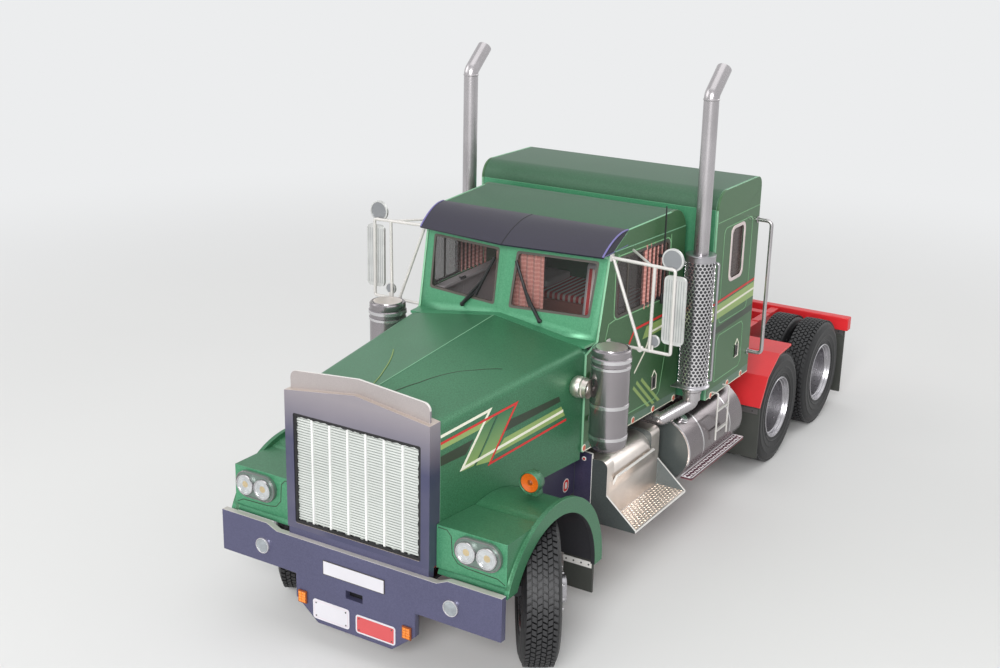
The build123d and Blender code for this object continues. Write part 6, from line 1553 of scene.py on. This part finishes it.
def add_lozenges(mesh, side, start, wide, deep, pitch, index=0, plump=0.2):
    """Rows of raised lozenges turned to and fro on a level field that starts at (x, behind the nose, z)."""
    lines, columns = int(deep / pitch), int(wide / pitch)
    for line in range(lines):
        for column in range(columns):
            u, v = (column + 0.5) * wide / columns, (line + 0.5) * deep / lines
            spot = at(side * (start[0] + u), start[1] + v, start[2])
            tilt = math.radians(45 if (line + column) % 2 else -45)
            way = Vector((side * math.cos(tilt), math.sin(tilt), 0)) * pitch * 0.5 * MM
            square = Vector((-side * math.sin(tilt), math.cos(tilt), 0)) * pitch * plump * MM
            low, high = ([spot + offset * share + WORLD_UP * rise * MM for offset in (way, square, -way, -square)]
                         for share, rise in ((1, 0), (0.6, 0.12)))
            low, high = row(mesh, low), row(mesh, high)
            mesh.faces.new(high).material_index = index
            join_rows(mesh, [low, high], index)


def step_paint(face, index):
    """The step boxes' faces have a colour for each way they look."""
    if index:
        return 1
    if abs(face.normal.x) > 0.9 and face.calc_center_median().y < NOSE + (STEP_Y[0] - 2) * MM:
        return 3
    return 2 if face.normal.y < -0.9 else 0


dressed_copy("step_box_body", "step_boxes", [FOIL_PLATE, EDGE_WHITE, STEP_DARK, STEP_BLUE],
             bevel=0.12, paint=step_paint)


@pair([FOIL_TREAD], "silver_card", smooth=10)
def step_tread(mesh, side):
    """The steps' tread plate."""
    add_lozenges(mesh, side, (STEP_BOX_X + 0.4, STEP_Y[0] + 0.4, STEP_TREAD_Z), STEP_OUT_X - STEP_BOX_X - 0.8,
                 STEP_Y[1] - STEP_Y[0] - 0.8, 1.05)


@pair([EDGE_WHITE, RED_PRINT, STEP_BLUE], "silver_card")
def step_marks(mesh, side):
    """Reflectors and the cover plate of the step boxes."""
    x, z, rim = STEP_DOT
    for spot, radius, index in ((at(side * x, 78.5, z), rim, 0), (at(side * x, 78.5, z - 0.1), rim - 0.25, 1)):
        add_lathe(mesh, [(0, 0.1 + 0.04 * index), (radius, 0.08), (radius, 0)], spot, FORWARD, 24, index)
    for inset, index in ((0, 0), (0.3, 1), (1.1, 0)):
        mark = round_outline(*SIDE_MARK, 1.6 - inset, inset=inset)
        add_print(mesh, lambda behind: SIDE_PLATE_X, side, mark, index, 0.05 + inset * 0.05, 0.05)
    plate = mirrored(side, STEP_COVER)
    add_front_prism(mesh, plate, 78.52, 0.1, 2)
    add_front_prism(mesh, stroke(plate[1:3], 0.2), 78.48, 0.1, 0)


TANK = (35.4, 31.2)                     # x, z
TANK_RADIUS = 12.0
TANK_Y = (121.6, 166.97)
TANK_STRAPS_Y = (133.0, 155.6)
TANK_CAP_Y = 127.0
TANK_BRACKETS_Y = (126.0, 160.6)
TANK_BRACKET_X = (17.1, 25.0)
TANK_BRACKET_Z = (29.2, 33.2)
TANK_CAP = ((2.0, 11.6), (2.0, 12.2), (1.7, 12.3), (1.7, 12.9), (1.5, 13.1), (0, 13.15))
TANK_CAP_WAY = (0.5, 0.866)             # outward and up
TANK_STEP_Z = 24.0
TANK_STEP_X = (45.65, 49.6)
TANK_STEP_Y = (119.0, 164.0)
LADDER_X = 48.5
LADDER_Y = (140.0, 149.4)
LADDER_RUNGS_Z = (34.2, 41.6)
LADDER_RAIL = ((LADDER_X, 31.2), (LADDER_X, 48.3), (46.0, 48.3))        # x, z
GRAB_TUBE = ((45.8, 102.8), (51.0, 102.8), (51.0, 54.6), (45.8, 54.6))      # x, z
GRAB_TUBE_Y = 171.0
GRAB_FOOT = ((1.2, 45.72), (1.2, 46.0), (0.8, 46.15))


@pair([FOIL_TANK, TANK_END, FOIL_BRIGHT], "silver_card", replaces=("fuel_tanks",), smooth=32)
def tank_bodies(mesh, side):
    """Round fuel tanks with dark dished ends."""
    start, end = TANK_Y
    half = [(0, 0.5), (TANK_RADIUS - 1.0, 0.5), (TANK_RADIUS - 0.7, 0), (TANK_RADIUS - 0.2, 0), (TANK_RADIUS, 0.3)]
    section = [(radius, start + inward) for radius, inward in half]
    section += [(radius, end - inward) for radius, inward in reversed(half)]
    add_lathe(mesh, section, at(side * TANK[0], 0, TANK[1]), REARWARD, 96, [1, 2, 2, 2, 0, 2, 2, 2, 1])


@pair([FOIL_BRIGHT, RED], "silver_card")
def tank_fittings(mesh, side):
    """The tanks' narrow bands, brackets and filler caps."""
    r = TANK_RADIUS
    for behind in TANK_STRAPS_Y:
        add_lathe(mesh, [(r - 0.1, -0.4), (r + 0.05, -0.35), (r + 0.05, 0.35), (r - 0.1, 0.4)],
                  at(side * TANK[0], behind, TANK[1]), REARWARD, 96)
    (inner, outer), (low, high) = TANK_BRACKET_X, TANK_BRACKET_Z
    for behind in TANK_BRACKETS_Y:
        add_block(mesh, (side * inner, behind, low), (side * outer, behind + 2, high), 1)
    out, up = TANK_CAP_WAY
    add_lathe(mesh, TANK_CAP, at(side * TANK[0], TANK_CAP_Y, TANK[1]), Vector((side * out, 0, up)), 28)


@pair([STEP_MAUVE, STEP_LOZENGE, STEP_RED], "silver_card", replaces=("tank_steps",))
def tank_step_plates(mesh, side):
    """Tread-plate steps below the tanks, with raised edges."""
    (start, end), (inner, outer), z = TANK_STEP_Y, TANK_STEP_X, TANK_STEP_Z
    add_lozenges(mesh, side, (inner + 0.35, start + 0.2, z + 0.7), outer - inner - 0.7, end - start - 0.4, 1.5, 1, 0.25)
    for (low_x, high_x), (low_y, high_y), (low_z, high_z), index in (
            ((inner, outer), (start, end), (0.12, 0.7), 0),
            ((inner, outer), (start + 0.1, end - 0.1), (0, 0.12), 2),
            ((inner, inner + 0.3), (start, end), (0.5, 0.8), 1),
            ((outer - 0.3, outer), (start, end), (0.5, 0.8), 1),
            ((inner, outer), (start, start + 0.3), (0.5, 0.8), 1),
            ((inner, outer), (end - 0.3, end), (0.5, 0.8), 1)):
        add_block(mesh, (side * low_x, low_y, z + low_z), (side * high_x, high_y, z + high_z), index)


@pair([ARM_SILVER], "silver_card", bevel=0.05)
def ladders(mesh, side):
    """Two-rung ladders above the tank steps."""
    for behind in LADDER_Y:
        add_tube(mesh, rounded_path([at(side * x, behind, z) for x, z in LADDER_RAIL], 0.7), 0.31)
    for z in LADDER_RUNGS_Z:
        add_block(mesh, (side * (LADDER_X - 0.4), LADDER_Y[0], z), (side * (LADDER_X + 0.4), LADDER_Y[1], z + 0.7))


@pair([FOIL_PIPE], "silver_card", replaces=("grab_handles",), smooth=32)
def grab_tubes(mesh, side):
    """Bent grab tubes behind the sleeper."""
    add_tube(mesh, rounded_path([at(side * x, GRAB_TUBE_Y, z) for x, z in GRAB_TUBE], 1.8), 0.68, 16)
    for _, z in GRAB_TUBE[1:3]:
        add_lathe(mesh, GRAB_FOOT, at(0, GRAB_TUBE_Y, z), LEFT * side, 20)


# ------------------------------------------------------------- rear and chassis

BEAM_END = 286.0
BEAM_MIDDLE_Z = 35.85
REAR_LAMPS = ((28.5, 0), (33.0, 0), (37.5, 2))      # x, glass
FLAP_HALF = 0.42                        # half the flaps' thickness and a little
FLAPS = ((24.0, 48.0, 28.8, 183.47, 0), (37.0, 47.0, 21.0, 54.8, 2),     # x from and to, top z, behind the nose,
         (23.5, 46.5, 33.0, 284.0, 0))                                   # the strip's material
FLAP_RIVETS = (0.12, 0.37, 0.63, 0.88)  # shares of the flap's width
FLAP_RIVET = ((0.3, 0.08), (0.28, 0.2), (0, 0.26))
RAIL_RIVET = ((0.5, 0.0), (0.42, 0.28), (0, 0.36))
RAIL_X = 17.0
RAIL_RIVETS = ((20, 48, 78, 110, 146, 188, 214, 238, 266), (29.6, 35.4))        # behind the nose, z
RAIL_BLOCKS = (198.0, 203.0, 217.0, 240.0, 258.0, 272.0)
PLATE_CENTRE = (226.0, 48.0)            # fifth wheel: behind the nose, top z
PLATE_BOLTS = (*range(20, 61, 20), *range(120, 341, 20))        # degrees, none in the coupling's slot
BOLT_CIRCLE = 14.6
BOLT = ((0.7, -0.1), (0.62, 0.0), (0, 0.02))
PIVOT = ((1.5, 21.2), (1.5, 21.8), (1.1, 22.1), (0, 22.1))
RELEASE_ROD = ((6.0, 15.0, 44.6), (20.0, 15.0, 44.0), (27.0, 12.5, 43.4), (29.0, 12.5, 43.4))   # x, ahead, z

dressed_copy("flap_sheets", "mud_flaps", [FLAP, FLAP], bevel=0.12)


@pair([FOIL_DULL, DARK, EDGE_WHITE], "silver_card")
def flap_strips(mesh, side):
    """Riveted strips along the mud flaps' tops, in front and behind."""
    for low, high, top_z, behind, ink in FLAPS:
        top, inset = top_z - 0.3, 0.2 if ink else 0.8
        for toward in (-1, 1):
            face = behind + toward * FLAP_HALF
            strip = mirrored(side, rectangle((low + inset, top - 2.0), (high - inset, top)))
            add_front_prism(mesh, strip, face, 0.12 * toward, ink)
            for share in FLAP_RIVETS:
                spot = at(side * (low + (high - low) * share), face, top - 1.0)
                add_lathe(mesh, FLAP_RIVET, spot, REARWARD * toward, 14, 1)


dressed_copy("beam", "rear_beam", [RED], bevel=0.3, edge_width=0)
dressed_copy("quarter_plates", "quarter_fenders", [RED, EDGE_RED], bevel=0.12)
dressed_copy("rails", "chassis_rails", [RED], bevel=0.2, edge_width=0)
dressed_copy("crossbars", "crossmembers", [RED], bevel=0.15, edge_width=0)
dressed_copy("fifth_wheel_plate", "fifth_wheel", [FIFTH], bevel=0.35, edge_width=0)


@pair([RED_LENS, FOIL_BRIGHT, AMBER, WHITE], "red_card")
def rear_lamps(mesh, side):
    """Round lamps and a pale reflector on the rear beam."""
    for x, glass in REAR_LAMPS:
        spot = at(side * x, BEAM_END, BEAM_MIDDLE_Z)
        add_lathe(mesh, [(1.75, -0.3), (1.75, 0.0), (1.5, 0.0)], spot, REARWARD, 28, 1)
        add_lathe(mesh, [(1.5, -0.06), (1.4, -0.02), (0, 0.0)], spot, REARWARD, 28, glass)
    reflector = mirrored(side, rectangle((41.0, BEAM_MIDDLE_Z - 1.4), (46.5, BEAM_MIDDLE_Z + 1.4)))
    add_front_prism(mesh, reflector, BEAM_END - 0.1, 0.1, 3)


@pair([RED], "red_card")
def rail_rivets(mesh, side):
    """Rivets on the rails' sides and blocks on their tops."""
    for behind in RAIL_RIVETS[0]:
        for z in RAIL_RIVETS[1]:
            add_lathe(mesh, RAIL_RIVET, at(side * RAIL_X, behind, z), LEFT * side, 12)
    for behind in RAIL_BLOCKS:
        add_block(mesh, (side * 13.6, behind, 38.0), (side * 16.9, behind + 2.2, 38.25))


@piece([FOIL_DULL, FIFTH], "dark_card", bevel=0.1)
def fifth_wheel_fittings(mesh):
    """The fifth wheel's bolts, side brackets, pivots and release rod."""
    behind, top = PLATE_CENTRE
    for angle in map(math.radians, PLATE_BOLTS):
        spot = at(BOLT_CIRCLE * math.cos(angle), behind + BOLT_CIRCLE * math.sin(angle), top - 0.02)
        add_lathe(mesh, BOLT, spot, WORLD_UP, 16)
    for side in (-1, 1):
        add_block(mesh, (side * 19.6 - 1.6, behind - 4.0, 38.4), (side * 19.6 + 1.6, behind + 4.0, 45.2), 1)
        add_lathe(mesh, PIVOT, at(0, behind, 42.0), LEFT * side, 24)
    add_tube(mesh, rounded_path([at(x, behind - ahead, z) for x, ahead, z in RELEASE_ROD], 1.5), 0.6)


for node, material, slot in (           # axles, springs, shafts and the engine
        ("front_axle", DARK, "dark_card"), ("springs", DARK, "dark_card"), ("drive_axles", DARK, "dark_card"),
        ("engine_block", FOIL_DULL, "silver_card"), ("propeller_shafts", DARK, "dark_card")):
    dressed_copy(f"{node}_body", node, [material], bevel=0.18, edge_width=0)


# ------------------------------------------------------ camera and lighting

CAMERA_SPOT = Vector((0.214038, -0.416513, 0.210692))
CAMERA_FORWARD = Vector((-0.496376, 0.811253, -0.308999))
CAMERA_ROLL = math.radians(1.2519)
CAMERA_LENS = 49.488        # on a sensor 36 mm wide
FLOOR = (222, 222, 221)
FLOOR_HALF = 6.0
SURROUND = (236, 237, 238)
PAPER_REACH = (0.24, 0.62)
AMBIENT = 0.45
LIGHTS = (                  # name, spot, size, watts
    ("key", (0.42, -1.1, 0.55), (0.5, 0.5), 14.5),
    ("fill", (-1.1, -0.6, 0.7), (1.0, 0.8), 4.5),
    ("rear", (0.5, 1.1, 0.8), (0.9, 0.7), 4),
    ("top", (0, 0.1, 1.3), (1.2, 1.2), 4),
)
LIGHTS_TARGET = Vector((0, 0, 0.06))


def make_camera():
    """The photo's viewpoint, with its slight roll."""
    data = bpy.data.cameras.new("photo_camera")
    data.lens, data.sensor_width, data.clip_start, data.clip_end = CAMERA_LENS, 36, 0.01, 20
    right = CAMERA_FORWARD.cross(WORLD_UP).normalized()
    up = right.cross(CAMERA_FORWARD).normalized()
    across = right * math.cos(CAMERA_ROLL) + up * math.sin(CAMERA_ROLL)
    upright = up * math.cos(CAMERA_ROLL) - right * math.sin(CAMERA_ROLL)
    camera = place_object("photo_camera", data)
    turn = Matrix((across, upright, -CAMERA_FORWARD)).transposed().to_4x4()
    camera.matrix_world = Matrix.Translation(CAMERA_SPOT) @ turn
    bpy.context.scene.camera = camera


def make_light(name, spot, size, watts):
    """A soft square lamp at spot, turned to the truck."""
    data = bpy.data.lights.new(name, "AREA")
    data.shape = "RECTANGLE"
    data.size, data.size_y = size
    data.energy = watts
    lamp = place_object(name, data)
    lamp.location = spot
    lamp.rotation_mode = "QUATERNION"
    lamp.rotation_quaternion = (LIGHTS_TARGET - Vector(spot)).to_track_quat("-Z", "Y")


def seen_share(tree):
    """1 for camera, glossy and transmission rays, 0 for those that carry the light."""
    path = add_node(tree, "LightPath")
    total = path.outputs["Is Camera Ray"]
    for ray in ("Is Glossy Ray", "Is Transmission Ray"):
        total = add_node(tree, "Math", {0: total, 1: path.outputs[ray]}, operation="MAXIMUM").outputs["Value"]
    return total


def floor_material():
    """Pale paper round the truck that passes into the even surround farther off."""
    material = surface("floor_paper", FLOOR, 0.015, 0.0, (0.75, 0.85), 3, 60, 0.02)
    tree = material.node_tree
    output = tree.get_output_node("ALL")
    paper = output.inputs["Surface"].links[0].from_socket
    length = add_node(tree, "VectorMath", {0: object_place(tree)}, operation="LENGTH").outputs["Value"]
    far = add_node(tree, "MapRange", {"Value": length, "From Min": PAPER_REACH[0], "From Max": PAPER_REACH[1]},
                   interpolation_type="SMOOTHSTEP").outputs["Result"]
    share = add_node(tree, "Math", {0: far, 1: seen_share(tree)}, operation="MULTIPLY").outputs["Value"]
    glow = add_node(tree, "Emission", {"Color": (*linear(*SURROUND), 1)}).outputs["Emission"]
    mix = add_node(tree, "MixShader", {0: share, 1: paper, 2: glow}).outputs["Shader"]
    tree.links.new(mix, output.inputs["Surface"])
    return material


def make_stage():
    """A plain pale floor, soft studio lamps and an even pale surround."""
    mesh = bpy.data.meshes.new("floor")
    corners = rectangle((-FLOOR_HALF, -FLOOR_HALF), (FLOOR_HALF, FLOOR_HALF))
    mesh.from_pydata([(*corner, 0) for corner in corners], [], [range(4)])
    mesh.materials.append(floor_material())
    place_object("floor", mesh)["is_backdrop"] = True
    for light in LIGHTS:
        make_light(*light)
    world = bpy.data.worlds.new("surround")
    bpy.context.scene.world = world
    world.use_nodes = True
    tree = world.node_tree
    strength = spread(tree, seen_share(tree), AMBIENT, 1.0)
    feed(tree, tree.nodes["Background"], {"Color": (*linear(*SURROUND), 1), "Strength": strength})
    bpy.context.scene.view_settings.view_transform = "Standard"


def write_sizes(low, high):
    """Imports json and does nothing with the boxes."""
    import json


make_camera()
make_stage()

write_sizes(*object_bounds())
